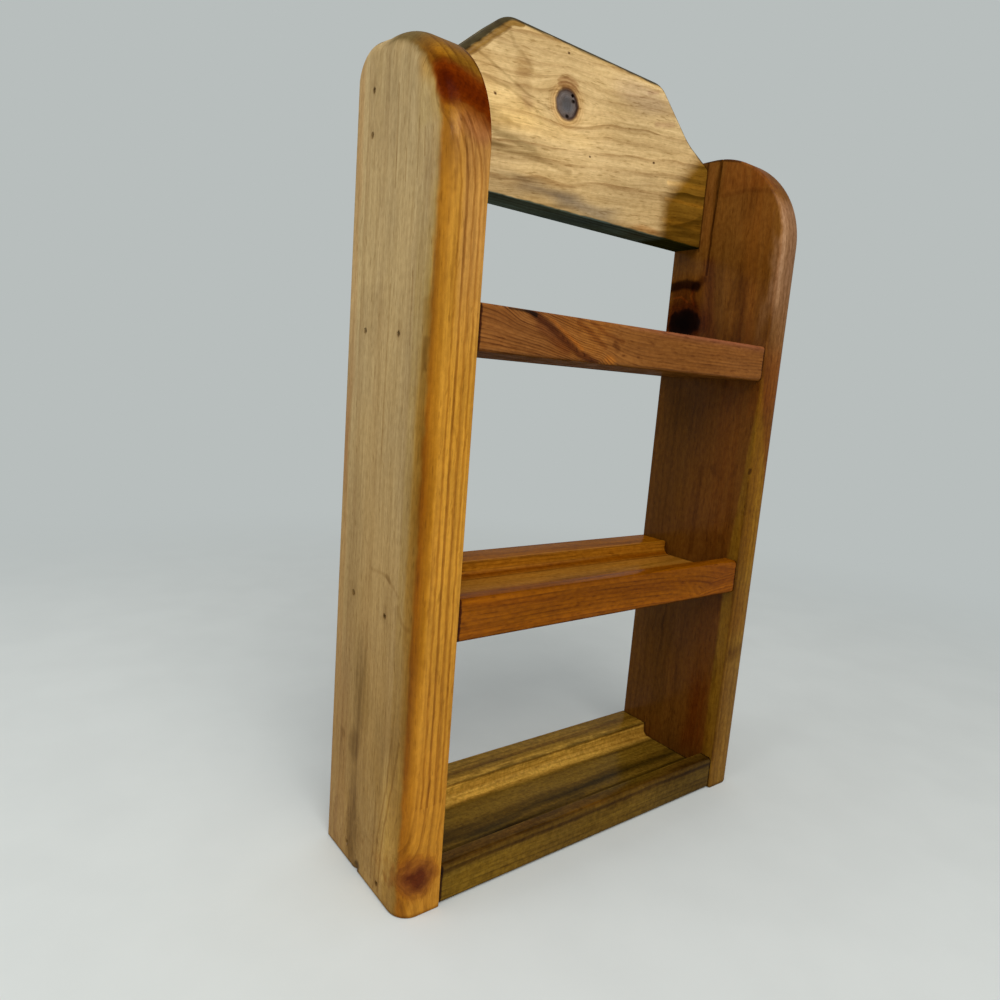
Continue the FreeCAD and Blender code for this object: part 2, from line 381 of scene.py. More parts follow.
    @staticmethod
    def _varnish() -> ShaderGroup:
        """Satin varnish that lies thinner in places and follows the late wood a little.

        Returns:
            The group.
        """
        group = ShaderGroup(
            "satin_varnish", ("Position",), ("Late", "Fine"),
            dict.fromkeys(("Roughness", "Coat", "Height"), FLOAT))
        given = group.given
        patch = group.noise(given["Position"], (0.05, 0.05, 0.02))["Fac"]
        orange_peel = group.noise(given["Position"], (0.35, 0.35, 0.2))["Fac"]
        dull = group.sums("MULTIPLY_ADD", patch, 0.2, 0.4)
        roughness = group.sums("MULTIPLY_ADD", given["Fine"], 0.1, dull)
        coat = group.sums("MULTIPLY_ADD", patch, -0.2, 0.26)
        raised = group.sums("MULTIPLY", given["Late"], 0.7)
        rough_wood = group.sums("MULTIPLY_ADD", given["Fine"], -0.5, raised)
        height = group.sums("MULTIPLY_ADD", orange_peel, 0.8, rough_wood)
        return group.give(Roughness=roughness, Coat=coat, Height=height)


@dataclass(frozen=True)
class Zone:
    """Soft-edged region of a board, in the rack's frame."""

    centre: Point
    half_size: Point
    softness: Point = (1.0, 1.0, 1.0)
    shape: ZoneShape = ZoneShape.BLOCK
    lean: Point = (0.0, 0.0, 0.0)


@dataclass(frozen=True)
class Tint:
    """Change of colour inside a zone: the wood's colour times a factor."""

    zone: Zone
    factor: Colour
    strength: float = 1.0
    streaked: float = 0.0
    loose: bool = False
    matt: bool = False


@dataclass(frozen=True)
class Stroke:
    """Dark or pale line through the wood, which may pull the rings with it."""

    points: tuple[Point, ...]
    half_width: float
    softness: float
    factor: Colour
    strength: float = 1.0
    pull: Point = (0.0, 0.0, 0.0)
    pull_reach: float = 1.0
    sided: bool = False


@dataclass(frozen=True)
class Knot:
    """Branch that runs through a board."""

    centre: Point
    axis: Point
    half_width: float
    half_length: float
    reach: float
    rim: Colour
    body: Colour
    core: Colour
    halo: Colour
    halo_reach: float
    wobble: float
    year: float
    edge: float
    ripple: float = 0.0
    heart_only: bool = False


@dataclass(frozen=True)
class WoodTone:
    """Colours of the early and the late wood of a year."""

    early: Colour
    late: Colour


@dataclass(frozen=True)
class WoodFinish:
    """Varnished pine of one board."""

    name: str
    grain: Grain
    pith: Point
    spacing: float
    heart: WoodTone
    sap: WoodTone
    slope: Point = (0.0, 0.0, 0.0)
    wander: float = 5.0
    curl: float = 0.0
    late_start: float = 0.45
    contrast: float = 1.0
    sap_contrast: float = 0.6
    streak: Colour = (0.8, 0.76, 0.7)
    cloud: Colour = (1.12, 1.1, 1.05)
    fine: Colour = (0.84, 0.82, 0.78)
    pore: Colour = (0.74, 0.7, 0.62)
    mottle: Colour = (0.9, 0.88, 0.85)
    fleck: float = 0.0
    sap_zones: tuple[Zone, ...] = ()
    tints: tuple[Tint, ...] = ()
    strokes: tuple[Stroke, ...] = ()
    knots: tuple[Knot, ...] = ()

    def material(self, groups: WoodGroups) -> Material:
        """The material that shows this wood."""
        return WoodPainter(self, groups).paint()


class WoodPainter(NodeSheet):
    """Draws the material of one wood finish, layer over layer."""

    RING_TONE = 0.3
    FLECK = (0.62, 0.6, 0.5)
    KNOT_RIPPLE = (0.62, 0.5, 0.4)
    KNOT_YEAR = (0.62, 0.56, 0.5, 1.0)
    KNOT_MOTTLE = (0.72, 0.66, 0.6, 1.0)
    RELIEF = {"Strength": 0.35, "Distance": 0.3 * MM}
    COAT_ROUGHNESS = 0.2

    def __init__(self, finish: WoodFinish, groups: WoodGroups) -> None:
        """Start the material with the positions that its layers are drawn on, and with the plain wood.

        Args:
            finish: What the wood looks like.
            groups: Shared wood groups.
        """
        self.finish = finish
        self.groups = groups
        self.local = finish.grain.local
        self.material = bpy.data.materials.new(finish.name)
        self.material.use_nodes = True
        super().__init__(self.material.node_tree)
        turn = self.add("ShaderNodeMapping", {
            "Vector": self.add("ShaderNodeTexCoord").outputs["Object"],
            "Rotation": finish.grain.value.to_euler(),
            "Scale": (PER_METRE, PER_METRE, PER_METRE)})
        self.place = turn.outputs["Vector"]
        self.ragged = self.scatter(self.place, (0.3, 0.3, 0.12), 1.2)
        self.loose = self.scatter(self.ragged, (0.07, 0.07, 0.03), 8.0)
        flow, self.stroke_masks = self._strokes()
        flow, self.knot_distances = self._knots(flow)
        flow = self._sloped(flow)
        self.rings = groups.rings.place(self, {
            "Position": flow, "Pith": self.local(finish.pith), "Spacing": finish.spacing,
            "Wander": finish.wander, "Late Start": finish.late_start})
        self.fibres = groups.fibres.place(self, {"Position": flow})
        sap_masks = [self._mask(zone, self.ragged) for zone in finish.sap_zones]
        self.sap_mask = self.fold("MAXIMUM", [0.0, *sap_masks])
        self.colour = self._plain_wood()

    def paint(self) -> Material:
        """Lay fibres, tints, knots, strokes and varnish over the plain wood.

        Returns:
            The finished material.
        """
        self._lay_fibres()
        matt = self._lay_tints()
        for knot, distance in zip(self.finish.knots, self.knot_distances):
            self._lay_knot(knot, distance)
        for stroke, mask in zip(self.finish.strokes, self.stroke_masks):
            if stroke.strength:
                self._stain(self.sums("MULTIPLY", mask, stroke.strength), stroke.factor)
        self._varnish(matt)
        return self.material

    def _stain(self, share: Feed, factor: Colour) -> None:
        """Multiply a share of the colour by a factor."""
        self.colour = self.blend(share, self.colour, (*factor, 1.0), "MULTIPLY")

    def _mask(self, zone: Zone, place: Feed) -> Socket:
        """Mask of a zone.

        Args:
            zone: The zone.
            place: Position that it is drawn on.

        Returns:
            A value of 1 inside the zone and 0 outside.
        """
        centre, half_size = self.local(zone.centre), self.local(zone.half_size)
        feeds = {"Position": place, "Centre": centre, "Half Size": half_size}
        if zone.shape is ZoneShape.BALL:
            return self.groups.ball.place(self, feeds)["Mask"]
        feeds["Softness"] = self.local(zone.softness)
        feeds["Lean"] = self.local(zone.lean)
        return self.groups.block.place(self, feeds)["Mask"]

    def _strokes(self) -> tuple[Feed, list[Feed]]:
        """Place the strokes and let them pull the grain.

        Returns:
            The pulled position and the mask of each stroke.
        """
        flow = self.place
        masks = []
        for stroke in self.finish.strokes:
            lines = []
            for start, end in zip(stroke.points, stroke.points[1:]):
                lines.append(self.groups.stroke.place(self, {
                    "Position": self.ragged, "Start": self.local(start), "End": self.local(end),
                    "Half Width": stroke.half_width, "Softness": stroke.softness}))
            masks.append(self.fold("MAXIMUM", [line["Mask"] for line in lines]))
            if any(stroke.pull):
                nearest = self.fold("MINIMUM", [line["Distance"] for line in lines])
                fall = self.sums("EXPONENT", self.sums("DIVIDE", nearest, -stroke.pull_reach))
                if stroke.sided:
                    fall = self.sums("MULTIPLY", fall, self._side_of(stroke))
                flow = self.vector("ADD", flow, self.vector("SCALE", self.local(stroke.pull), fall))
        return flow, masks

    def _side_of(self, stroke: Stroke) -> Socket:
        """Sign that turns the pull round on the far side of a stroke.

        Args:
            stroke: The stroke.

        Returns:
            1 on the side away from the pull and -1 on the side that the pull points to.
        """
        start = self.local(stroke.points[0])
        run = (self.local(stroke.points[-1]) - start).normalized()
        pull = self.local(stroke.pull)
        towards = pull - run * pull.dot(run)
        offset = self.vector("SUBTRACT", self.ragged, start)
        side = self.sums("SIGN", self.vector("DOT_PRODUCT", offset, towards))
        return self.sums("MULTIPLY", side, -1.0)

    def _knots(self, flow: Feed) -> tuple[Feed, list[Socket]]:
        """Place the knots, each on the grain that the last one left.

        Args:
            flow: Position that the strokes have pulled.

        Returns:
            The position that the rings follow, and the distance from each knot's heart, 1 at its rim.
        """
        distances = []
        for knot in self.finish.knots:
            axis = self.local(knot.axis).normalized()
            across = axis.cross(Vector((0, 0, 1))).normalized()
            grown = self.groups.knot.place(self, {
                "Position": self.place, "Flow": flow, "Centre": self.local(knot.centre),
                "Across": across, "Along": across.cross(axis),
                "Half Width": knot.half_width, "Half Length": knot.half_length,
                "Reach": knot.reach, "Wobble": knot.wobble})
            flow = grown["Flow"]
            distances.append(grown["Distance"])
        return flow, distances

    def _sloped(self, flow: Feed) -> Feed:
        """Position with the board's slope and curl of the grain in it.

        Args:
            flow: Position that strokes and knots have pulled.

        Returns:
            The position that rings and fibres follow.
        """
        if any(self.finish.slope):
            height = self.vector("DOT_PRODUCT", flow, (0.0, 0.0, 1.0))
            rise = self.vector("SCALE", self.local(self.finish.slope), height)
            flow = self.vector("SUBTRACT", flow, rise)
        if self.finish.curl:
            flow = self.scatter(flow, (0.05, 0.05, 0.05), self.finish.curl)
        return flow

    def _plain_wood(self) -> Socket:
        """Colour of the heartwood and the sapwood, each with its rings.

        Returns:
            The colour under all layers.
        """
        finish = self.finish
        late = self.sums("MULTIPLY", self.rings["Late"], finish.contrast)
        heart = self.blend(late, linear(finish.heart.early), linear(finish.heart.late))
        if not finish.sap_zones:
            return heart
        sap_late = self.sums("MULTIPLY", self.rings["Late"], finish.sap_contrast)
        sap = self.blend(sap_late, linear(finish.sap.early), linear(finish.sap.late))
        return self.blend(self.sap_mask, heart, sap)

    def _lay_fibres(self) -> None:
        """Vary the years, then lay on streaks, clouds, fibres, pores, mottles and flecks."""
        finish = self.finish
        self._stain(self.sums("MULTIPLY", self.rings["Tone"], self.RING_TONE), finish.streak)
        self._stain(self.fibres["Streak"], finish.streak)
        self._stain(self.fibres["Cloud"], finish.cloud)
        self._stain(self.fibres["Fine"], finish.fine)
        self._stain(self.fibres["Pore"], finish.pore)
        self._stain(self.fibres["Mottle"], finish.mottle)
        if finish.fleck:
            ticks = self.noise(self.ragged, (0.6, 0.28, 0.6), detail=3.0, rough=0.6)["Fac"]
            self._stain(self.sums("MULTIPLY", self.fade(ticks, 0.38, 0.64), finish.fleck), self.FLECK)

    def _lay_tints(self) -> Feed:
        """Lay the tints over the wood.

        Returns:
            Mask of what has no varnish.
        """
        matt: Feed = 0.0
        for tint in self.finish.tints:
            mask = self._mask(tint.zone, self.loose if tint.loose else self.ragged)
            share = self.sums("MULTIPLY", mask, tint.strength)
            if tint.streaked:
                broken = self.sums("MULTIPLY_ADD", self.fibres["Streak"], tint.streaked, 1.0 - tint.streaked)
                share = self.sums("MULTIPLY", share, broken)
            self._stain(share, tint.factor)
            if tint.matt:
                matt = self.sums("MAXIMUM", matt, share)
        return matt

    def _lay_knot(self, knot: Knot, distance: Socket) -> None:
        """Lay on a knot and the stained wood round it.

        Args:
            knot: The knot.
            distance: Distance from its heart, 1 at its rim.
        """
        limit = self.sums("SUBTRACT", 1.0, self.sap_mask) if knot.heart_only else 1.0
        years = knot.half_width / knot.year
        halo = self.sums("MULTIPLY", self.fade(distance, knot.halo_reach, 1.0), limit)
        self._stain(halo, knot.halo)
        if knot.ripple:
            wave = self.sums("FRACT", self.sums("MULTIPLY", distance, years * 0.6))
            ripple = self.sums("MULTIPLY", halo, knot.ripple)
            self._stain(self.sums("MULTIPLY", self.fade(wave, 0.35, 0.95), ripple), self.KNOT_RIPPLE)
        inner = self.blend(self.fade(distance, 0.7, 0.25), linear(knot.body), linear(knot.core))
        inner = self.blend(self.fade(distance, 0.72, 0.98), inner, linear(knot.rim))
        ring = self.sums("FRACT", self.sums("MULTIPLY", distance, years))
        dark = self.sums("MULTIPLY", self.fade(ring, 0.3, 1.0), 0.35)
        inner = self.blend(dark, inner, self.KNOT_YEAR, "MULTIPLY")
        inner = self.blend(self.fibres["Mottle"], inner, self.KNOT_MOTTLE, "MULTIPLY")
        mask = self.fade(distance, 1.0 + knot.edge, 1.0 - knot.edge)
        self.colour = self.blend(self.sums("MULTIPLY", mask, limit), self.colour, inner)

    def _varnish(self, matt: Feed) -> None:
        """Put the varnish over the colour and finish the material.

        Args:
            matt: Mask of what has no varnish.
        """
        satin = self.groups.varnish.place(self, {
            "Position": self.place, "Late": self.rings["Late"], "Fine": self.fibres["Fine"]})
        bump = self.add("ShaderNodeBump", {**self.RELIEF, "Height": satin["Height"]})
        varnished = self.sums("SUBTRACT", 1.0, matt)
        shader = self.add("ShaderNodeBsdfPrincipled", {
            "Base Color": self.colour, "Roughness": satin["Roughness"], "Normal": bump.outputs["Normal"],
            "Coat Weight": self.sums("MULTIPLY", satin["Coat"], varnished),
            "Coat Roughness": self.COAT_ROUGHNESS, "Specular IOR Level": 0.0})
        self.close(shader.outputs["BSDF"])


@dataclass(frozen=True)
class SteelFinish:
    """Plain or plated steel of the fasteners and hangers."""

    name: str
    bright: Colour
    dull: Colour
    grain_size: float
    rough_low: float
    rough_high: float

    def material(self) -> Material:
        """Build the node material.

        Returns:
            The finished material.
        """
        material, sheet = new_material(self.name)
        place = sheet.position()
        cell = 1.0 / self.grain_size
        spangle = sheet.noise(place, (cell, cell, cell), detail=3.0)["Fac"]
        scuff = sheet.noise(place, (cell * 5, cell * 5, cell * 0.4))["Fac"]
        both = sheet.sums("MULTIPLY_ADD", scuff, 0.5, sheet.sums("MULTIPLY", spangle, 0.5))
        wear = sheet.fade(both, 0.35, 0.65)
        bump = sheet.add("ShaderNodeBump", {"Strength": 0.2, "Distance": 0.1 * MM, "Height": scuff})
        shader = sheet.add("ShaderNodeBsdfPrincipled", {
            "Base Color": sheet.blend(wear, linear(self.bright), linear(self.dull)), "Metallic": 1.0,
            "Roughness": sheet.sums("MULTIPLY_ADD", wear, self.rough_high - self.rough_low, self.rough_low),
            "Normal": bump.outputs["Normal"]})
        sheet.close(shader.outputs["BSDF"])
        return material


@dataclass(frozen=True)
class Corner:
    """Corner of a flat outline, rounded to a radius."""

    u: float
    v: float
    radius: float = 0.0
    steps: int = 6


def rounded_outline(corners: Sequence[Corner]) -> list[Flat]:
    """Points round an outline, with an arc at each rounded corner.

    Args:
        corners: Corners in turn.

    Returns:
        The outline's points.
    """
    points: list[Flat] = []
    for index, corner in enumerate(corners):
        here = Vector((corner.u, corner.v))
        if corner.radius <= 0:
            points.append((here.x, here.y))
            continue
        last = corners[index - 1]
        following = corners[(index + 1) % len(corners)]
        to_last = (Vector((last.u, last.v)) - here).normalized()
        to_next = (Vector((following.u, following.v)) - here).normalized()
        half_angle = to_last.angle(to_next) / 2
        centre = here + (to_last + to_next).normalized() * (corner.radius / math.sin(half_angle))
        start = here + to_last * (corner.radius / math.tan(half_angle)) - centre
        end = here + to_next * (corner.radius / math.tan(half_angle)) - centre
        sweep = start.angle_signed(end)
        for step in range(corner.steps + 1):
            turned = start.copy()
            turned.rotate(Matrix.Rotation(-sweep * step / corner.steps, 2))
            points.append((centre.x + turned.x, centre.y + turned.y))
    return points


def rounded_rectangle(low: Flat, high: Flat, radius: float, steps: int) -> list[Flat]:
    """Outline of a rectangle between two corners, with all four rounded alike."""
    corners = (low, (high[0], low[1]), high, (low[0], high[1]))
    return rounded_outline([Corner(u, v, radius, steps) for u, v in corners])


def inset_outline(points: Sequence[Flat], amount: float) -> list[Flat]:
    """Outline moved inwards by a small amount, corner by corner.

    Args:
        points: Outline that runs against the clock.
        amount: Distance to move each side.

    Returns:
        The smaller outline.
    """
    least_spread = 0.35
    moved = []
    for index, point in enumerate(points):
        here = Vector(point)
        came = (here - Vector(points[index - 1])).normalized()
        goes = (Vector(points[(index + 1) % len(points)]) - here).normalized()
        inward = Vector((-came.y - goes.y, came.x + goes.x)).normalized()
        spread = max(inward.dot(Vector((-came.y, came.x))), least_spread)
        moved.append(tuple(here + inward * (amount / spread)))
    return moved


def round_ring(centre: Point, radius: float, count: int) -> list[Point]:
    """Points of a circle that faces the front."""
    turns = [math.tau * step / count for step in range(count)]
    return [tuple(Vector(centre) + Vector((math.cos(turn), 0, math.sin(turn))) * radius) for turn in turns]


def loft(name: str, rings: Sequence[Sequence[Point]]) -> Mesh:
    """Closed mesh through a stack of rings that have equal counts of points.

    Args:
        name: Name of the mesh.
        rings: Points of each ring in millimetres, first cap to last cap.

    Returns:
        The mesh in metres, with its faces turned outwards.
    """
    form = bmesh.new()
    rows = [[form.verts.new(Vector(point) * MM) for point in ring] for ring in rings]
    for lower, upper in zip(rows, rows[1:]):
        for index in range(len(lower)):
            after = (index + 1) % len(lower)
            form.faces.new((lower[index], lower[after], upper[after], upper[index]))
    form.faces.new(rows[0])
    form.faces.new(rows[-1])
    bmesh.ops.recalc_face_normals(form, faces=form.faces)
    mesh = bpy.data.meshes.new(name)
    form.to_mesh(mesh)
    form.free()
    return mesh


def show(name: str, mesh: Mesh) -> Piece:
    """Put a mesh into the scene.

    Args:
        name: Name of the object.
        mesh: Its mesh.

    Returns:
        The object.
    """
    piece = bpy.data.objects.new(name, mesh)
    bpy.context.scene.collection.objects.link(piece)
    return piece


def joined(meshes: Iterable[Mesh], name: str) -> Mesh:
    """Several meshes in one.

    Args:
        meshes: Meshes to join.
        name: Name of the result.

    Returns:
        The joined mesh.
    """
    form = bmesh.new()
    for mesh in meshes:
        form.from_mesh(mesh)
    result = bpy.data.meshes.new(name)
    form.to_mesh(result)
    form.free()
    return result


def evaluated(piece: Piece) -> Mesh:
    """Plain mesh of a piece with its modifiers applied."""
    bpy.context.view_layer.update()
    return bpy.data.meshes.new_from_object(piece.evaluated_get(bpy.context.evaluated_depsgraph_get()))


def carved(mesh: Mesh, cutters: Sequence[Mesh]) -> Mesh:
    """Mesh with cutters taken out of it.

    Args:
        mesh: Solid to cut.
        cutters: Closed meshes to take away.

    Returns:
        The cut mesh.
    """
    solid = show(mesh.name, mesh)
    tools = [show("cutter", cutter) for cutter in cutters]
    for tool in tools:
        cut = solid.modifiers.new("carve", "BOOLEAN")
        cut.operation = "DIFFERENCE"
        cut.solver = "EXACT"
        cut.object = tool
    result = evaluated(solid)
    for extra in (solid, *tools):
        bpy.data.objects.remove(extra)
    return result


def settle(piece: Piece, material: Material, nodes: Sequence[str]) -> None:
    """Shade a piece, give it its material and tie it to the rack.

    Args:
        piece: Finished piece.
        material: Its finish.
        nodes: Nodes of the frame that it stands for.
    """
    mesh = piece.data
    mesh.polygons.foreach_set("use_smooth", [True] * len(mesh.polygons))
    mesh.set_sharp_from_angle(angle=SHARP_ANGLE)
    mesh.materials.clear()
    mesh.materials.append(material)
    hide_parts(*nodes)
    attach(piece, "root")
    log.info("%s: %d faces, stands for %d nodes", piece.name, len(mesh.polygons), len(nodes))


@dataclass
class NailLayout:
    """Where the finishing nails went in, and how big they and their holes are."""

    places: dict[str, Flat] = field(default_factory=lambda: {
        "bottom_shelf_front": (-16.5, 6.5),
        "bottom_shelf_back": (14.3, 8.5),
        "middle_shelf_front": (-11.4, 130.9),
        "middle_shelf_back": (19.3, 132.9),
        "upper_shelf_front": (-10.6, 250.2),
        "upper_shelf_back": (19.2, 251.7),
        "header_lower": (21.0, 332.1),
        "header_upper": (21.0, 349.8),
    })
    outer_face: float = 118.25
    set_depth: float = 1.5
    length: float = 38.0
    shank_radius: float = 0.9
    head_radius: float = 1.25
    head_height: float = 1.5
    point_length: float = 3.0
    pit_half_height: Flat = (1.1, 1.6)
    pit_half_width: Flat = (0.9, 1.2)
    pit_ragged: Flat = (0.72, 1.2)
    pit_points: int = 14

    def pits(self, side: float, seed: int) -> list[Mesh]:
        """Cutters for the torn holes above the set heads, longer along the grain.

        Args:
            side: -1 for the left board and 1 for the right one.
            seed: Seed for their ragged outlines.

        Returns:
            One cutter for each nail.
        """
        dice = random.Random(seed)
        levels = ((-1.0, 1.25), (0.25, 1.0), (self.set_depth + 0.1, 0.72))
        cutters = []
        for y, z in self.places.values():
            tall = dice.uniform(*self.pit_half_height)
            wide = dice.uniform(*self.pit_half_width)
            ragged = [dice.uniform(*self.pit_ragged) for _ in range(self.pit_points)]
            rings = []
            for depth, share in levels:
                ring = []
                for index, reach in enumerate(ragged):
                    turn = math.tau * index / len(ragged)
                    ring.append((
                        side * (self.outer_face - depth),
                        y + math.cos(turn) * wide * reach * share,
                        z + math.sin(turn) * tall * reach * share))
                rings.append(ring)
            cutters.append(loft("nail_pit", rings))
        return cutters


@dataclass(frozen=True)
class Split:
    """Open split or chip in a face, cut as a wedge towards +X; its path holds y, z and half width."""

    face: float
    path: tuple[Point, ...]
    depth: float
    outside: float = 0.5

    def cutter(self) -> Mesh:
        """Make the cutter along the path.

        Returns:
            The cutter.
        """
        mouth = self.face - self.outside
        rings = []
        for y, z, half_width in self.path:
            wide = half_width * (1.0 + self.outside / self.depth)
            rings.append([(mouth, y - wide, z), (mouth, y + wide, z), (self.face + self.depth, y, z)])
        return loft("split", rings)


@dataclass(frozen=True)
class HeaderMarks:
    """Small holes in the header's face: old pins, and pits in its knot."""

    hub: Flat = (-15.5, 371.5)
    pins: tuple[Flat, ...] = ((-17.0, 394.5), (-59.0, 364.5), (50.3, 359.5), (2.8, 351.4))
    pits: tuple[Flat, ...] = ((-11.5, 374.0), (-15.0, 366.3), (-12.5, 376.4))
    pin_radius: float = 0.45
    pit_radius: float = 0.8
    depth: float = 1.2
    points: int = 10

    def cutters(self, face: float) -> list[Mesh]:
        """Cutters of all the holes.

        Args:
            face: Y of the header's face.

        Returns:
            One cutter for each hole.
        """
        holes = [(x, z, self.pin_radius) for x, z in self.pins]
        holes += [(x, z, self.pit_radius) for x, z in self.pits]
        levels = ((face - 0.5, 1.2), (face + 0.2, 1.0), (face + self.depth, 0.5))
        cutters = []
        for x, z, radius in holes:
            rings = [round_ring((x, y, z), radius * share, self.points) for y, share in levels]
            cutters.append(loft("small_hole", rings))
        return cutters


@dataclass(frozen=True)
class RimPoint:
    """Point of a board's outline, with the way that the rounded edge of a face draws in from there."""

    u: float
    v: float
    draw: Flat
    radius: float

    def at(self, turn: float) -> Point:
        """Depth below the face, u and v at an angle from 0 on the face to a quarter turn on the outline."""
        share = 1.0 - math.sin(turn)
        return (
            self.radius * (1.0 - math.cos(turn)),
            self.u + self.draw[0] * share, self.v + self.draw[1] * share)


def edge_rings(rim: Sequence[RimPoint], steps: int) -> list[list[Point]]:
    """Rings of depth, u and v over a rounded edge, from the face out to the outline."""
    return [[point.at(QUARTER * step / steps) for point in rim] for step in range(steps + 1)]


@dataclass
class SideBoard:
    """One upright side with its rounded top, routed outer edge and nail pits."""

    name: str
    side: float
    finish: WoodFinish
    nails: NailLayout
    seed: int
    splits: tuple[Split, ...]
    depth: float = 74.0
    height: float = 371.0
    outer_face: float = 118.25
    inner_face: float = 96.75
    front_radius: float = 52.0
    back_radius: float = 14.0
    front_round: float = 9.5
    top_end_round: float = 7.0
    back_ease: float = 2.0
    inner_ease: float = 1.2
    foot_ease: float = 0.6
    straight_steps: int = 12
    front_steps: int = 32
    back_steps: int = 16
    outer_steps: int = 16
    inner_steps: int = 6

    def _outer_round(self, y: float, z: float) -> float:
        """Radius of the routed edge: wide at the front, narrower along the top, slight at the wall.

        Args:
            y: Depth of a point of the outline.
            z: Its height.

        Returns:
            The radius there.
        """
        back = self.depth / 2
        top_start = -back + self.front_radius
        top_end = back - self.back_radius
        if y <= top_start:
            return self.front_round
        if y <= top_end:
            share = (y - top_start) / (top_end - top_start)
            return self.front_round + (self.top_end_round - self.front_round) * share
        turned = math.atan2(y - top_end, z - self.height + self.back_radius)
        share = min(max(turned / QUARTER, 0.0), 1.0)
        return self.top_end_round + (self.back_ease - self.top_end_round) * share

    def _spine(self) -> list[tuple[float, float, float, float]]:
        """Outline from the foot of the front, over the top, to the foot of the back.

        Returns:
            Depth and height of each point, and the way that faces out there.
        """
        front = -self.depth / 2
        back = self.depth / 2
        front_foot = self.height - self.front_radius
        back_foot = self.height - self.back_radius
        steps = self.straight_steps
        spine = [(front, front_foot * step / steps, -1.0, 0.0) for step in range(steps)]
        for step in range(self.front_steps + 1):
            turn = QUARTER * step / self.front_steps
            y = front + self.front_radius * (1 - math.cos(turn))
            z = front_foot + self.front_radius * math.sin(turn)
            spine.append((y, z, -math.cos(turn), math.sin(turn)))
        for step in range(self.back_steps + 1):
            turn = QUARTER * step / self.back_steps
            y = back - self.back_radius * (1 - math.sin(turn))
            z = self.height - self.back_radius * (1 - math.cos(turn))
            spine.append((y, z, math.sin(turn), math.cos(turn)))
        spine += [(back, back_foot * step / steps, 1.0, 0.0) for step in reversed(range(steps))]
        return spine

    def _rim(self, outer: bool) -> list[RimPoint]:
        """Outline of the board with the rounding of its outer or its inner face.

        Args:
            outer: Whether the outer face is meant.

        Returns:
            Points in the order of the spine.
        """
        rim = []
        for y, z, away_y, away_z in self._spine():
            radius = self._outer_round(y, z) if outer else self.inner_ease
            lift = self.foot_ease if z == 0.0 else -away_z * radius
            rim.append(RimPoint(y, z, (-away_y * radius, lift), radius))
        return rim

    def build(self, groups: WoodGroups) -> None:
        """Make the board.

        Args:
            groups: Shared wood groups.
        """
        outer = edge_rings(self._rim(True), self.outer_steps)
        inner = edge_rings(self._rim(False), self.inner_steps)
        rings = [[(self.side * (self.outer_face - depth), y, z) for depth, y, z in ring] for ring in outer]
        for ring in reversed(inner):
            rings.append([(self.side * (self.inner_face + depth), y, z) for depth, y, z in ring])
        cutters = [joined(self.nails.pits(self.side, self.seed), "nail_pits")]
        cutters += [split.cutter() for split in self.splits]
        piece = show(self.name, carved(loft(self.name, rings), cutters))
        settle(piece, self.finish.material(groups), [self.name + "_board"])


@dataclass
class ShelfBoard:
    """One shelf with the groove that keeps the jars in place."""

    name: str
    underside: float
    finish: WoodFinish
    half_length: float = 96.75
    front: float = -36.0
    back: float = 37.0
    thickness: float = 19.0
    front_lip: float = 8.0
    rear_lip: float = 20.0
    groove_depth: float = 8.0
    cove_radius: float = 4.0
    edge_round: float = 2.0
    sanded_edge: float = 0.5
    end_ease: float = 0.35
    round_steps: int = 8
    edge_steps: int = 3

    def _outline(self) -> list[Flat]:
        """Cross-section of the shelf.

        Returns:
            Its points in y and z.
        """
        top = self.underside + self.thickness
        floor = top - self.groove_depth
        rear = self.back - self.rear_lip
        lip = self.front + self.front_lip
        edge = (self.edge_round, self.round_steps)
        cove = (self.cove_radius, self.round_steps)
        sanded = (self.sanded_edge, self.edge_steps)
        return rounded_outline([
            Corner(self.front, self.underside, *edge),
            Corner(self.back, self.underside, *sanded),
            Corner(self.back, top, *sanded),
            Corner(rear, top, *sanded),
            Corner(rear, floor, *cove),
            Corner(lip, floor, *cove),
            Corner(lip, top, *sanded),
            Corner(self.front, top, *edge),
        ])

    def build(self, groups: WoodGroups) -> None:
        """Make the shelf.

        Args:
            groups: Shared wood groups.
        """
        outline = self._outline()
        small = inset_outline(outline, self.end_ease)
        end = self.half_length
        shoulder = end - self.end_ease
        loops = ((-end, small), (-shoulder, outline), (shoulder, outline), (end, small))
        rings = [[(x, y, z) for y, z in loop] for x, loop in loops]
        piece = show(self.name, loft(self.name, rings))
        settle(piece, self.finish.material(groups), [self.name])


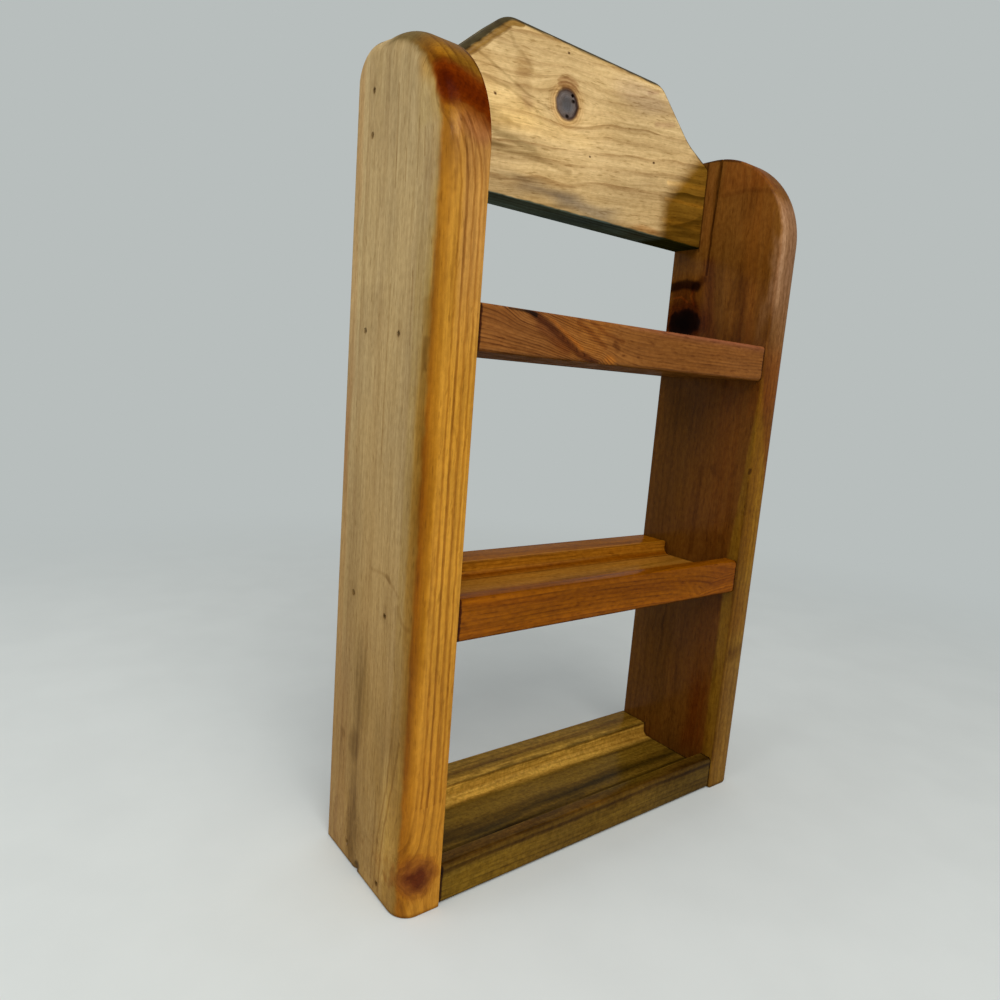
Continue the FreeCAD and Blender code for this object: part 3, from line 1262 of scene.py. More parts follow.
@dataclass
class HangerPlate:
    """Keyhole plate in the back of the header, and the cuts that it needs."""

    end: str
    centre_x: float
    centre_z: float = 361.5
    width: float = 16.0
    length: float = 44.0
    corner_radius: float = 4.0
    face: float = 36.8
    seat: float = 35.2
    fit: float = 0.3
    edge_ease: float = 0.3
    entry_radius: float = 4.75
    slot_width: float = 4.8
    entry_z: float = 357.0
    slot_end_z: float = 366.0
    pocket_depth: float = 9.0
    pocket_clearance: float = 0.8
    pocket_flat: float = 1.0
    screw_reach: float = 17.0
    screw_radius: float = 1.5
    screw_head_radius: float = 2.9
    screw_head_height: float = 1.6
    screw_clearance: float = 0.1
    overcut: float = 2.0
    corner_steps: int = 7
    pocket_steps: int = 8
    entry_steps: int = 28
    slot_steps: int = 12
    screw_points: int = 24

    def _block(self, grow: float, levels: Sequence[Flat]) -> Mesh:
        """Block of the plate's outline.

        Args:
            grow: Clearance round the plate.
            levels: Y and inset of each ring.

        Returns:
            The block.
        """
        rings = []
        for y, inset in levels:
            reach_x = self.width / 2 + grow - inset
            reach_z = self.length / 2 + grow - inset
            radius = self.corner_radius + grow - inset
            outline = rounded_rectangle((-reach_x, -reach_z), (reach_x, reach_z), radius, self.corner_steps)
            rings.append([(self.centre_x + u, y, self.centre_z + v) for u, v in outline])
        return loft("hanger_block", rings)

    def _keyhole(self) -> Mesh:
        """Cutter in the shape of the keyhole.

        Returns:
            The cutter.
        """
        half_slot = self.slot_width / 2
        open_angle = math.asin(half_slot / self.entry_radius)
        outline = []
        for step in range(self.entry_steps + 1):
            turn = QUARTER + open_angle + (math.tau - 2 * open_angle) * step / self.entry_steps
            x, z = math.cos(turn) * self.entry_radius, math.sin(turn) * self.entry_radius
            outline.append((x, self.entry_z + z))
        for step in range(self.slot_steps + 1):
            turn = math.pi * step / self.slot_steps
            outline.append((math.cos(turn) * half_slot, self.slot_end_z + math.sin(turn) * half_slot))
        ends = (self.seat - self.overcut, self.face + self.overcut)
        return loft("keyhole", [[(self.centre_x + u, y, v) for u, v in outline] for y in ends])

    def _screw_seat(self, height: float) -> Mesh:
        """Cutter for a countersunk hole.

        Args:
            height: Z of the screw.

        Returns:
            The cutter.
        """
        head = self.screw_head_radius + self.screw_clearance
        shank = self.screw_radius + self.screw_clearance
        levels = (
            (self.face + 1.0, head), (self.face, head),
            (self.face - self.screw_head_height, shank), (self.seat - 1.0, shank))
        places = [((self.centre_x, y, height), reach) for y, reach in levels]
        return loft("screw_seat", [round_ring(place, reach, self.screw_points) for place, reach in places])

    def recess_cutters(self) -> list[Mesh]:
        """Cutters for the recess and for the pocket behind the keyhole.

        Returns:
            The two cutters.
        """
        radius = self.entry_radius + self.pocket_clearance
        low = (-radius, self.entry_z - radius)
        high = (radius, self.slot_end_z + radius)
        outline = rounded_rectangle(low, high, radius - self.pocket_flat, self.pocket_steps)
        ends = (self.seat - self.pocket_depth, self.seat + 0.5)
        recess = self._block(self.fit, ((self.seat, 0.0), (self.face + self.overcut, 0.0)))
        pocket = loft("screw_head_pocket", [[(self.centre_x + u, y, v) for u, v in outline] for y in ends])
        return [recess, pocket]

    def build(self, steel: Material) -> None:
        """Make the plate.

        Args:
            steel: Its material.
        """
        ease = self.edge_ease
        levels = ((self.seat, ease), (self.seat + ease, 0.0), (self.face - ease, 0.0), (self.face, ease))
        seats = [self._screw_seat(self.centre_z + reach) for reach in (-self.screw_reach, self.screw_reach)]
        name = self.end + "_hanger_plate"
        piece = show(name, carved(self._block(0.0, levels), [self._keyhole(), *seats]))
        settle(piece, steel, [name])


@dataclass
class HeaderBoard:
    """Shouldered board between the tops of the sides, with the plates' recesses in its back."""

    finish: WoodFinish
    plates: Sequence[HangerPlate]
    marks: HeaderMarks
    half_length: float = 96.75
    front: float = 18.0
    back: float = 37.0
    underside: float = 321.5
    end_top: float = 370.0
    top: float = 401.5
    half_top: float = 53.0
    corner_radius: float = 14.0
    bend_x: float = 80.0
    bend_z: float = 378.0
    bend_radius: float = 40.0
    edge_round: float = 6.0
    ease: float = 0.4
    bend_steps: int = 10
    corner_steps: int = 12
    round_steps: int = 16
    ease_steps: int = 4

    def _rim(self, radius: float) -> list[RimPoint]:
        """Outline of the board with its top and shoulders rounded.

        Args:
            radius: Radius of that rounding.

        Returns:
            Points from the left foot round to the left end of the shoulder.
        """
        shoulder = rounded_outline([
            Corner(self.half_length, self.end_top),
            Corner(self.bend_x, self.bend_z, self.bend_radius, self.bend_steps),
            Corner(self.half_top, self.top, self.corner_radius, self.corner_steps),
            Corner(-self.half_top, self.top, self.corner_radius, self.corner_steps),
            Corner(-self.bend_x, self.bend_z, self.bend_radius, self.bend_steps),
            Corner(-self.half_length, self.end_top),
        ])
        ease = self.ease
        rim = [
            RimPoint(-self.half_length, self.underside, (ease, ease), ease),
            RimPoint(self.half_length, self.underside, (-ease, ease), ease),
        ]
        for (x, z), (inner_x, inner_z) in zip(shoulder, inset_outline(shoulder, radius)):
            rim.append(RimPoint(x, z, (inner_x - x, inner_z - z), radius))
        slant = math.hypot(self.half_length - self.bend_x, self.bend_z - self.end_top)
        drop = -radius * slant / (self.half_length - self.bend_x)
        rim[2] = RimPoint(self.half_length, self.end_top, (-ease, drop), radius)
        rim[-1] = RimPoint(-self.half_length, self.end_top, (ease, drop), radius)
        return rim

    def build(self, groups: WoodGroups) -> None:
        """Make the header.

        Args:
            groups: Shared wood groups.
        """
        face = edge_rings(self._rim(self.edge_round), self.round_steps)
        rear = edge_rings(self._rim(self.ease), self.ease_steps)
        rings = [[(x, self.front + depth, z) for depth, x, z in ring] for ring in face]
        rings += [[(x, self.back - depth, z) for depth, x, z in ring] for ring in reversed(rear)]
        cutters = [cutter for plate in self.plates for cutter in plate.recess_cutters()]
        cutters.append(joined(self.marks.cutters(self.front), "small_holes"))
        piece = show("header", carved(loft("header", rings), cutters))
        settle(piece, self.finish.material(groups), ["header_board"])


class FastenerTree(NodeSheet):
    """Geometry Nodes tree that turns one fastener and sets it on every point of a mesh."""

    SIDES = 24

    def __init__(self, name: str, sizes: dict[str, float]) -> None:
        """Make the tree with its named inputs.

        Args:
            name: Name of the tree and of the piece.
            sizes: Length in millimetres for each named input.
        """
        self.name = name
        self.sizes = sizes
        super().__init__(bpy.data.node_groups.new(name, "GeometryNodeTree"))
        self.tree.is_modifier = True
        face = self.tree.interface
        face.new_socket(name="Geometry", in_out="OUTPUT", socket_type="NodeSocketGeometry")
        inputs = {
            "Geometry": "NodeSocketGeometry", **dict.fromkeys(sizes, FLOAT),
            "Steel": "NodeSocketMaterial", "Seed": "NodeSocketInt"}
        self.keys: dict[str, str] = {}
        for socket, kind in inputs.items():
            self.keys[socket] = face.new_socket(name=socket, in_out="INPUT", socket_type=kind).identifier
        self.given = self.add("NodeGroupInput").outputs

    def along(self, length: Feed) -> Socket:
        """Vector of a length along the fastener."""
        return self.add("ShaderNodeCombineXYZ", {"Z": length}).outputs[0]

    def shifted(self, geometry: Socket, start: Feed) -> Socket:
        """Geometry moved along the fastener by a length."""
        move = self.add("GeometryNodeTransform", {"Geometry": geometry, "Translation": self.along(start)})
        return move.outputs["Geometry"]

    def cone(self, start: Feed, length: Feed, first_radius: Feed, last_radius: Feed) -> Socket:
        """One turned length of the fastener.

        Args:
            start: Distance of its first end below the head's face.
            length: Its length.
            first_radius: Radius at the first end.
            last_radius: Radius at the last end.

        Returns:
            Its geometry.
        """
        node = self.add("GeometryNodeMeshCone", {
            "Vertices": self.SIDES, "Radius Bottom": first_radius, "Radius Top": last_radius,
            "Depth": length})
        return self.shifted(node.outputs["Mesh"], start)

    def shank(self) -> Socket:
        """Length between the head and the point."""
        below = self.sums("SUBTRACT", self.given["Length"], self.given["Point Length"])
        return self.sums("SUBTRACT", below, self.given["Head Height"])

    def finish(self, parts: Sequence[Socket]) -> None:
        """Join the lengths, set them on the points and end the tree.

        Args:
            parts: Geometry of each length.
        """
        given = self.given
        whole = self.add("GeometryNodeJoinGeometry")
        for part in parts:
            self.feed(whole.inputs["Geometry"], part)
        aim = self.add("GeometryNodeInputNamedAttribute", {"Name": "aim"}, data_type="FLOAT_VECTOR")
        turn = self.add("FunctionNodeAlignRotationToVector", {"Vector": aim.outputs["Attribute"]}, axis="Z")
        limits = {"Max": math.tau, "Seed": given["Seed"]}
        spin = self.add("FunctionNodeRandomValue", limits, data_type="FLOAT")
        about = self.along(next(socket for socket in spin.outputs if socket.enabled))
        stand = self.add("GeometryNodeInstanceOnPoints", {
            "Points": given["Geometry"], "Instance": whole.outputs["Geometry"],
            "Rotation": turn.outputs["Rotation"]})
        spun = self.add("GeometryNodeRotateInstances", {
            "Instances": stand.outputs["Instances"], "Rotation": about, "Local Space": True})
        real = self.add("GeometryNodeRealizeInstances", {"Geometry": spun.outputs["Instances"]})
        dressed = self.add("GeometryNodeSetMaterial", {
            "Geometry": real.outputs["Geometry"], "Material": given["Steel"]})
        self.add("NodeGroupOutput", {"Geometry": dressed.outputs["Geometry"]})

    def run(self, spots: Sequence[tuple[Point, Point]], steel: Material, seed: int) -> Piece:
        """Set the fasteners and turn them into a plain mesh.

        Args:
            spots: Head position in millimetres and direction of each fastener.
            steel: Material of the fasteners.
            seed: Seed for the turn of each one.

        Returns:
            The piece.
        """
        points = bpy.data.meshes.new(self.name + "_points")
        points.from_pydata([Vector(head) * MM for head, _ in spots], [], [])
        aims = points.attributes.new("aim", "FLOAT_VECTOR", "POINT")
        for index, (_, direction) in enumerate(spots):
            aims.data[index].vector = direction
        holder = show(self.name, points)
        nodes = holder.modifiers.new(self.name, "NODES")
        nodes.node_group = self.tree
        for size, length in self.sizes.items():
            nodes[self.keys[size]] = length * MM
        nodes[self.keys["Steel"]] = steel
        nodes[self.keys["Seed"]] = seed
        mesh = evaluated(holder)
        holder.modifiers.clear()
        holder.data = mesh
        return holder


@dataclass
class FinishingNails:
    """The sixteen nails, set below the faces of the sides."""

    layout: NailLayout
    crown_share: float = 0.45
    crown_height: float = 0.12
    tip_radius: float = 0.12
    seed: int = 5

    def _tree(self) -> FastenerTree:
        """Tree of one nail: head, low crown, shank and point.

        Returns:
            The tree.
        """
        nail = self.layout
        tree = FastenerTree("finishing_nails", {
            "Length": nail.length, "Shank Radius": nail.shank_radius, "Head Radius": nail.head_radius,
            "Head Height": nail.head_height, "Point Length": nail.point_length})
        given, sums = tree.given, tree.sums
        shank = tree.shank()
        head_radius, shank_radius = given["Head Radius"], given["Shank Radius"]
        crown = sums("MULTIPLY", head_radius, self.crown_share)
        rise = self.crown_height * MM
        point = sums("ADD", given["Head Height"], shank)
        tree.finish([
            tree.cone(0.0, given["Head Height"], head_radius, head_radius),
            tree.cone(-rise, rise, crown, head_radius),
            tree.cone(given["Head Height"], shank, shank_radius, shank_radius),
            tree.cone(point, given["Point Length"], shank_radius, self.tip_radius * MM),
        ])
        return tree

    def build(self, finish: SteelFinish) -> None:
        """Make the nails.

        Args:
            finish: Their steel.
        """
        head = self.layout.outer_face - self.layout.set_depth
        spots = []
        nodes = []
        for side, word in ((-1.0, "left"), (1.0, "right")):
            for name, (y, z) in self.layout.places.items():
                spots.append(((side * head, y, z), (-side, 0.0, 0.0)))
                nodes.append(f"{word}_{name}_nail")
        steel = finish.material()
        settle(self._tree().run(spots, steel, self.seed), steel, nodes)


@dataclass
class PlateScrews:
    """The four cross-head screws that hold the hanger plates."""

    plates: Sequence[HangerPlate]
    length: float = 12.0
    point_length: float = 3.0
    cross_length: float = 3.4
    cross_width: float = 0.8
    cross_depth: float = 1.0
    thread_depth: float = 0.3
    thread_turns: float = 7.0
    turn_points: int = 20
    thread_sides: int = 6
    tip_radius: float = 0.15
    seed: int = 11

    def _head(self, tree: FastenerTree, core: Socket) -> Socket:
        """Countersunk head with its cross cut out.

        Args:
            tree: Tree of the screw.
            core: Radius under the thread.

        Returns:
            Its geometry.
        """
        given = tree.given
        blank = tree.cone(0.0, given["Head Height"], given["Head Radius"], core)
        head = tree.add(
            "GeometryNodeMeshBoolean", {"Mesh 1": blank}, operation="DIFFERENCE", solver="EXACT")
        deep = tree.sums("MULTIPLY", given["Cross Depth"], 2.0)
        for first, second in (("Cross Length", "Cross Width"), ("Cross Width", "Cross Length")):
            size = tree.add("ShaderNodeCombineXYZ", {"X": given[first], "Y": given[second], "Z": deep})
            arm = tree.add("GeometryNodeMeshCube", {"Size": size.outputs[0]})
            tree.feed(head.inputs["Mesh 2"], arm.outputs["Mesh"])
        return head.outputs["Mesh"]

    def _thread(self, tree: FastenerTree, core: Socket, shank: Socket) -> Socket:
        """Thread wound round the shank.

        Args:
            tree: Tree of the screw.
            core: Radius under the thread.
            shank: Length of the shank.

        Returns:
            Its geometry.
        """
        spiral = tree.add("GeometryNodeCurveSpiral", {
            "Resolution": self.turn_points, "Rotations": self.thread_turns,
            "Start Radius": core, "End Radius": core, "Height": shank})
        wire = tree.add("GeometryNodeCurvePrimitiveCircle", {
            "Resolution": self.thread_sides, "Radius": tree.given["Thread"]})
        ridge = tree.add("GeometryNodeCurveToMesh", {
            "Curve": spiral.outputs["Curve"], "Profile Curve": wire.outputs["Curve"], "Fill Caps": True})
        return tree.shifted(ridge.outputs["Mesh"], tree.given["Head Height"])

    def _tree(self) -> FastenerTree:
        """Tree of one screw: head, shank, point and thread.

        Returns:
            The tree.
        """
        plate = self.plates[0]
        tree = FastenerTree("plate_screws", {
            "Length": self.length, "Shank Radius": plate.screw_radius,
            "Head Radius": plate.screw_head_radius, "Head Height": plate.screw_head_height,
            "Point Length": self.point_length, "Cross Length": self.cross_length,
            "Cross Width": self.cross_width, "Cross Depth": self.cross_depth, "Thread": self.thread_depth})
        given, sums = tree.given, tree.sums
        core = sums("SUBTRACT", given["Shank Radius"], given["Thread"])
        shank = tree.shank()
        point = sums("ADD", given["Head Height"], shank)
        tree.finish([
            self._head(tree, core),
            tree.cone(given["Head Height"], shank, core, core),
            tree.cone(point, given["Point Length"], core, self.tip_radius * MM),
            self._thread(tree, core, shank),
        ])
        return tree

    def build(self, finish: SteelFinish) -> None:
        """Make the screws.

        Args:
            finish: Their steel.
        """
        spots = []
        nodes = []
        for plate in self.plates:
            for reach, level in ((-plate.screw_reach, "lower"), (plate.screw_reach, "upper")):
                head = (plate.centre_x, plate.face, plate.centre_z + reach)
                spots.append((head, (0.0, -1.0, 0.0)))
                nodes.append(f"{plate.end}_hanger_{level}_screw")
        steel = finish.material()
        settle(self._tree().run(spots, steel, self.seed), steel, nodes)


@dataclass(frozen=True)
class Softbox:
    """Square lamp that faces a point."""

    name: str
    place: Point
    aim: Point
    power: float
    colour: Colour
    size: float = 900.0

    def hang(self) -> None:
        """Put the lamp into the scene."""
        data = bpy.data.lights.new(self.name, "AREA")
        data.shape = "SQUARE"
        data.size = self.size * MM
        data.energy = self.power
        data.color = self.colour
        lamp = bpy.data.objects.new(self.name, data)
        lamp.location = Vector(self.place) * MM
        lamp.rotation_mode = "QUATERNION"
        lamp.rotation_quaternion = (Vector(self.aim) - Vector(self.place)).to_track_quat("-Z", "Y")
        bpy.context.scene.collection.objects.link(lamp)


@dataclass
class Studio:
    """Pale floor, soft light and the camera."""

    floor_colour: Colour = (219, 223, 220)
    floor_mottle: Colour = (0.97, 0.97, 0.97)
    backdrop_colour: Colour = (184, 190, 189)
    floor_radius: float = 4000.0
    floor_sides: int = 96
    floor_drop: float = 0.2
    near_floor: float = 330.0
    far_floor: float = 900.0
    sky: float = 0.42
    sky_tint: Colour = (0.96, 0.985, 1.0)
    seen_by: tuple[str, ...] = ("Is Camera Ray", "Is Glossy Ray", "Is Transmission Ray")
    lamps: tuple[Softbox, ...] = (
        Softbox("overhead_lamp", (-350, -800, 1100), (0, 0, 200), power=11.0, colour=(1.0, 0.985, 0.96)),
        Softbox("left_lamp", (-1200, 150, 900), (-100, 0, 200), power=5.0, colour=(0.95, 0.98, 1.0)),
    )
    eye: Point = (-263.963, -276.762, 233.971)
    eye_degrees: Point = (80.7578, -4.3711, -36.7463)
    lens: float = 26.0738
    sensor: float = 36.0

    def build(self) -> None:
        """Set the whole stage."""
        self._floor()
        self._sky()
        for lamp in self.lamps:
            lamp.hang()
        self._camera()
        bpy.context.scene.view_settings.view_transform = "Standard"

    def _seen(self, sheet: NodeSheet) -> Feed:
        """Mask of the rays that show the background itself."""
        path = sheet.add("ShaderNodeLightPath").outputs
        return sheet.fold("MAXIMUM", [path[ray] for ray in self.seen_by])

    def _floor(self) -> None:
        """Pale floor that keeps the shadow and fades into the backdrop."""
        form = bmesh.new()
        radius = self.floor_radius * MM
        bmesh.ops.create_circle(form, cap_ends=True, segments=self.floor_sides, radius=radius)
        mesh = bpy.data.meshes.new("floor")
        form.to_mesh(mesh)
        form.free()
        floor = show("floor", mesh)
        floor.location.z = -self.floor_drop * MM
        material, sheet = new_material("pale_floor")
        place = sheet.position()
        mottle = sheet.fade(sheet.noise(place, (0.02, 0.02, 0.02), detail=4.0)["Fac"], 0.3, 0.7)
        pale = sheet.blend(mottle, linear(self.floor_colour), (*self.floor_mottle, 1.0), "MULTIPLY")
        surface = sheet.add("ShaderNodeBsdfDiffuse", {"Color": pale})
        glow = sheet.add("ShaderNodeEmission", {"Color": linear(self.backdrop_colour)})
        far = sheet.fade(sheet.vector("LENGTH", place), self.near_floor, self.far_floor)
        mix = sheet.add("ShaderNodeMixShader", {
            0: sheet.sums("MULTIPLY", far, self._seen(sheet)), 1: surface.outputs[0], 2: glow.outputs[0]})
        sheet.close(mix.outputs[0])
        mesh.materials.append(material)

    def _sky(self) -> None:
        """Even light from all round, seen by the camera as the backdrop."""
        world = bpy.data.worlds.new("studio_sky")
        world.use_nodes = True
        sheet = NodeSheet(world.node_tree)
        light = sheet.add("ShaderNodeBackground", {"Color": (*self.sky_tint, 1.0), "Strength": self.sky})
        backdrop = sheet.add("ShaderNodeBackground", {"Color": linear(self.backdrop_colour)})
        mix = sheet.add("ShaderNodeMixShader", {
            0: self._seen(sheet), 1: light.outputs[0], 2: backdrop.outputs[0]})
        sheet.close(mix.outputs[0], "ShaderNodeOutputWorld")
        bpy.context.scene.world = world

    def _camera(self) -> None:
        """Camera at the photograph's viewing angle."""
        data = bpy.data.cameras.new("photo_camera")
        data.lens = self.lens
        data.sensor_width = self.sensor
        camera = bpy.data.objects.new("photo_camera", data)
        camera.location = Vector(self.eye) * MM
        camera.rotation_euler = Euler([math.radians(turn) for turn in self.eye_degrees])
        bpy.context.scene.collection.objects.link(camera)
        bpy.context.scene.camera = camera


def at_x(x: float, *spots: Flat) -> tuple[Point, ...]:
    """Points on an upright plane across the width, from their y and z."""
    return tuple((x, y, z) for y, z in spots)


def at_y(y: float, *spots: Flat) -> tuple[Point, ...]:
    """Points on an upright plane across the depth, from their x and z."""
    return tuple((x, y, z) for x, z in spots)


def at_z(z: float, *spots: Flat) -> tuple[Point, ...]:
    """Points on a level plane, from their x and y."""
    return tuple((x, y, z) for x, y in spots)


def band(
        centre: Point, half_size: Point, softness: Point, factor: Colour,
        strength: float = 0.9, streaked: float = 0.0,
) -> Tint:
    """Tint of a block with a soft edge."""
    return Tint(Zone(centre, half_size, softness), factor, strength, streaked)


def patch(
        centre: Point, half_size: Point, softness: Point, factor: Colour,
        strength: float = 0.9, streaked: float = 0.0,
) -> Tint:
    """Tint of a block whose soft edge wanders loosely."""
    return Tint(Zone(centre, half_size, softness), factor, strength, streaked, loose=True)


def spot(
        centre: Point, half_size: Point, factor: Colour, strength: float = 0.9, streaked: float = 0.0,
) -> Tint:
    """Round tint with a soft, loose edge."""
    return Tint(Zone(centre, half_size, shape=ZoneShape.BALL), factor, strength, streaked, loose=True)


def arc(
        y: float, centre: Flat, radius: float, first: float, last: float, steps: int = 5,
) -> tuple[Point, ...]:
    """Points along an arc at a depth y, round a centre in x and z, between two angles from +X in degrees."""
    turns = [math.radians(first + (last - first) * step / steps) for step in range(steps + 1)]
    return at_y(y, *(Vector(centre) + Vector((math.cos(turn), math.sin(turn))) * radius for turn in turns))


def nail_stains(layout: NailLayout, side: float) -> tuple[Tint, ...]:
    """Dark stain in and round each nail hole.

    Args:
        layout: Where the nails are.
        side: -1 for the left board and 1 for the right one.

    Returns:
        Two tints for each nail.
    """
    face = side * layout.outer_face
    stains = []
    for y, z in layout.places.values():
        hole = Zone((face, y, z), (2.2, 1.2, 1.3), shape=ZoneShape.BALL)
        stains.append(Tint(hole, (0.3, 0.24, 0.17), 0.9))
        smear = Zone((face, y, z + 1.5), (2.0, 2.2, 4.5), shape=ZoneShape.BALL)
        stains.append(Tint(smear, (0.78, 0.73, 0.66), 0.6, 0.5))
    return tuple(stains)


def shelf_ends(middle: float) -> tuple[Tint, ...]:
    """Dark joint lines where a shelf with its middle at that height meets the sides: dirt in the joint and
    painted shade.
    """
    joint_dirt_and_shade = (0.14, 0.07, 0.06)
    return tuple(band((x, 0, middle), (0.9, 60, 20), (0.4, 1, 1), joint_dirt_and_shade, 0.95) for x in (-96.3, 96.6))


def left_side_finish(layout: NailLayout) -> WoodFinish:
    """Pale outer face over an amber front edge, with a big red knot at the top.

    Args:
        layout: Where the nails are.

    Returns:
        The finish.
    """
    face = -118.2
    hair = (0.68, 0.6, 0.47)
    plain = (1, 1, 1)
    sap_zones = (
        Zone((-140, 0, 190), (23.1, 60, 400), (0.7, 0.7, 0.7)),
        Zone((-110, 24, 362), (30, 34, 30), (5, 7, 7)),
    )
    tints = (
        # Outer face darker and warmer towards the bottom: partly the wood's tone, partly painted shade where
        # less light reaches.
        band((-130, 0, -250), (14, 100, 400), (4, 9, 170), (0.72, 0.57, 0.32), 1),
        band((-108, -36, 20), (12, 12, 60), (4, 4, 70), (0.84, 0.76, 0.62), 1),
        band((-107, -36, 110), (10.5, 12, 150), (3, 4, 40), (1, 0.98, 0.66), 1),
        band((-115.4, -34, 180), (2.3, 9, 400), (1.2, 5, 10), (0.74, 0.68, 0.44), 0.95),
        band((-111, -36, 280), (2.2, 8, 34), (1.2, 3, 26), (0.94, 0.94, 0.66), 0.85, 0.2),
        band((-103, -36, 290), (5.6, 8, 34), (2.4, 3, 26), (0.98, 1.02, 1.5), 0.85, 0.2),
        # Much darker top of the board: partly darker wood, mostly painted shade on the top, which faces the
        # lamps.
        band((-106, -18, 366), (11.6, 30, 20), (1, 8, 6), (0.22, 0.19, 0.06)),
        Tint(Zone((-107, -32, 345), (11, 12, 16), (2, 5, 5)), (1, 1, 0.8), 0.85, matt=True),
        band((-106, -37, 323), (11, 12, 11), (3, 4, 11), (0.7, 0.66, 0.84), 0.9, 0.2),
        band((-118, -37, 300), (4.2, 6, 66), (1.5, 2.6, 30), (0.9, 0.86, 0.62)),
        band((-117.8, -33.5, 185), (2.4, 6, 50), (1.2, 2.4, 30), (0.94, 0.82, 0.46)),
        band((-114.6, -36, 155), (2.4, 4, 52), (1.2, 2, 26), (0.7, 0.62, 0.3), 0.95),
        patch((-118, -25, 40), (6, 5, 24), (3, 3.5, 20), (1.5, 1.58, 1.55)),
        spot((-113, -22, 356), (4, 6, 5), (1.7, 1.9, 2), 0.8, 0.3),
        patch((-118, 9.5, 45), (6, 4.5, 62), (3, 4, 22), (0.62, 0.57, 0.46), 0.9, 0.5),
        spot((face, 10.5, 61), (6, 6, 9), (0.62, 0.56, 0.45), 0.9, 0.2),
        spot((face, 10, 25), (6, 6, 18), (0.7, 0.64, 0.53), 0.9, 0.3),
        spot((face, -13, 66), (6, 7, 20), (0.84, 0.83, 0.8), 0.9, 0.2),
        spot((face, 4, 88), (6, 6, 18), (0.86, 0.83, 0.72), 0.9, 0.2),
        spot((face, 4.2, 2.6), (3, 2.6, 3.4), (0.24, 0.2, 0.16)),
        spot((face, 24, 62), (4, 2, 2.5), (0.74, 0.68, 0.6)),
        patch((-118, 28, 40), (6, 9, 60), (3, 5, 30), (0.92, 0.88, 0.94), 0.9, 0.5),
        patch((-118, -19, 25), (6, 6, 30), (3, 5, 20), (1.08, 1.05, 0.92)),
        patch((-118, 32.5, 250), (6, 3, 150), (3, 2, 60), (1, 0.88, 0.8), 0.8, 0.3),
        band((-118, 34, 203), (6, 2, 20), (3, 1.5, 14), (0.94, 0.8, 0.76)),
        spot((face, 5, 332), (6, 6.5, 15), (0.87, 0.86, 0.85), 0.9, 0.3),
        spot((face, 12, 258), (6, 11, 16), (0.9, 0.88, 0.86), 0.9, 0.3),
        spot((face, -23, 352), (6, 8, 10), (0.98, 0.82, 0.56)),
        spot((-104, -36, 327), (8, 5, 5.5), (0.84, 0.7, 0.9)),
        # Darker foot: partly dirt on the bottom edge, partly a painted contact shadow.
        band((-108, 0, 0), (30, 80, 1), (1, 1, 1.2), (0.42, 0.36, 0.28)),
        *nail_stains(layout, -1),
    )
    strokes = (
        Stroke(
            at_x(face, (2, 148.6), (-9, 149), (-18, 145.2), (-22, 142.8)),
            0.1, 1.4, (0.66, 0.58, 0.46), 0.45),
        Stroke(at_x(face, (-11.5, 148.7), (-14.5, 147.5)), 0.5, 1.4, (0.56, 0.49, 0.38), 0.65),
        Stroke(
            at_x(face, (-22.5, 138), (-24.5, 134), (-28, 131.5), (-32, 130.3)),
            0.2, 1.8, (0.64, 0.54, 0.4), 0.5),
        Stroke(
            at_x(face, (-31, 262), (-30, 165), (-31.5, 95), (-33.5, 70)),
            0.6, 3.4, (0.74, 0.63, 0.44), 0.8),
        Stroke(at_x(face, (-31.5, 248), (-31.5, 237)), 0.5, 1.8, (0.62, 0.52, 0.38), 0.8),
        Stroke(
            at_x(face, (-29.5, 80), (-27, 65), (-24, 50), (-21, 38), (-19, 22), (-18, 3)),
            0.25, 0.8, hair, 0.85),
        Stroke(at_x(face, (-23.5, 80), (-21, 56), (-15.5, 30), (-14, 3)), 0.2, 0.8, hair, 0.75),
        Stroke(at_x(face, (-12.5, 44), (-11, 6)), 0.2, 0.7, hair, 0.7),
        Stroke(at_x(face, (-0.5, 347), (-1.6, 308)), 0.15, 0.7, hair, 0.6),
        Stroke(at_x(face, (-1.5, 270), (-1, 196)), 0.15, 0.7, hair, 0.6),
        Stroke(at_x(face, (-19.5, 274), (-20, 246)), 0.15, 0.6, hair, 0.6),
        Stroke(at_x(face, (-22.8, 326), (-23.6, 316)), 0.2, 0.5, hair, 0.8),
        Stroke(at_x(face, (-18.3, 331), (-18.6, 309)), 0.15, 0.5, hair, 0.6),
        Stroke(at_x(face, (-9.3, 321), (-9.8, 309)), 0.15, 0.5, hair, 0.7),
        Stroke(
            ((-117.2, 35.3, 361.8), (-116.8, 32, 366.4), (-116.2, 27.2, 369), (-115.6, 21, 369.4)),
            0.2, 1.3, (0.3, 0.27, 0.22), 0.8),
        Stroke(
            ((-97.2, 15, 370.4), (-97.2, -2.6, 367.6), (-97.2, -18, 358.6)),
            0.5, 1.2, (0.4, 0.36, 0.3), 0.85),
        *(Stroke(
              ((x, -37, 52), (x, -37, 306), (x - 1.4, -37, 316), (x - 4, -36.6, 324), (x - 8, -36, 331)),
              0.1, 0.75, (0.56, 0.44, 0.28), 0.7)
          for x in (-112.5, -109.6, -106.6, -103.5, -100.3)),
        Stroke(((-116.6, -30, 347), (-115.4, -33.4, 338)), 1.5, 4.5, (0.6, 0.42, 0.3), 0.85),
        Stroke(((-119, -34, 338), (-97, -35, 331)), 0.1, 0.1, plain, 0, pull=(7, 0, 0), pull_reach=11),
        Stroke(((-118, -37, 20), (-104, -37, 18)), 0.1, 0.1, plain, 0, pull=(8, 0, 0), pull_reach=17),
    )
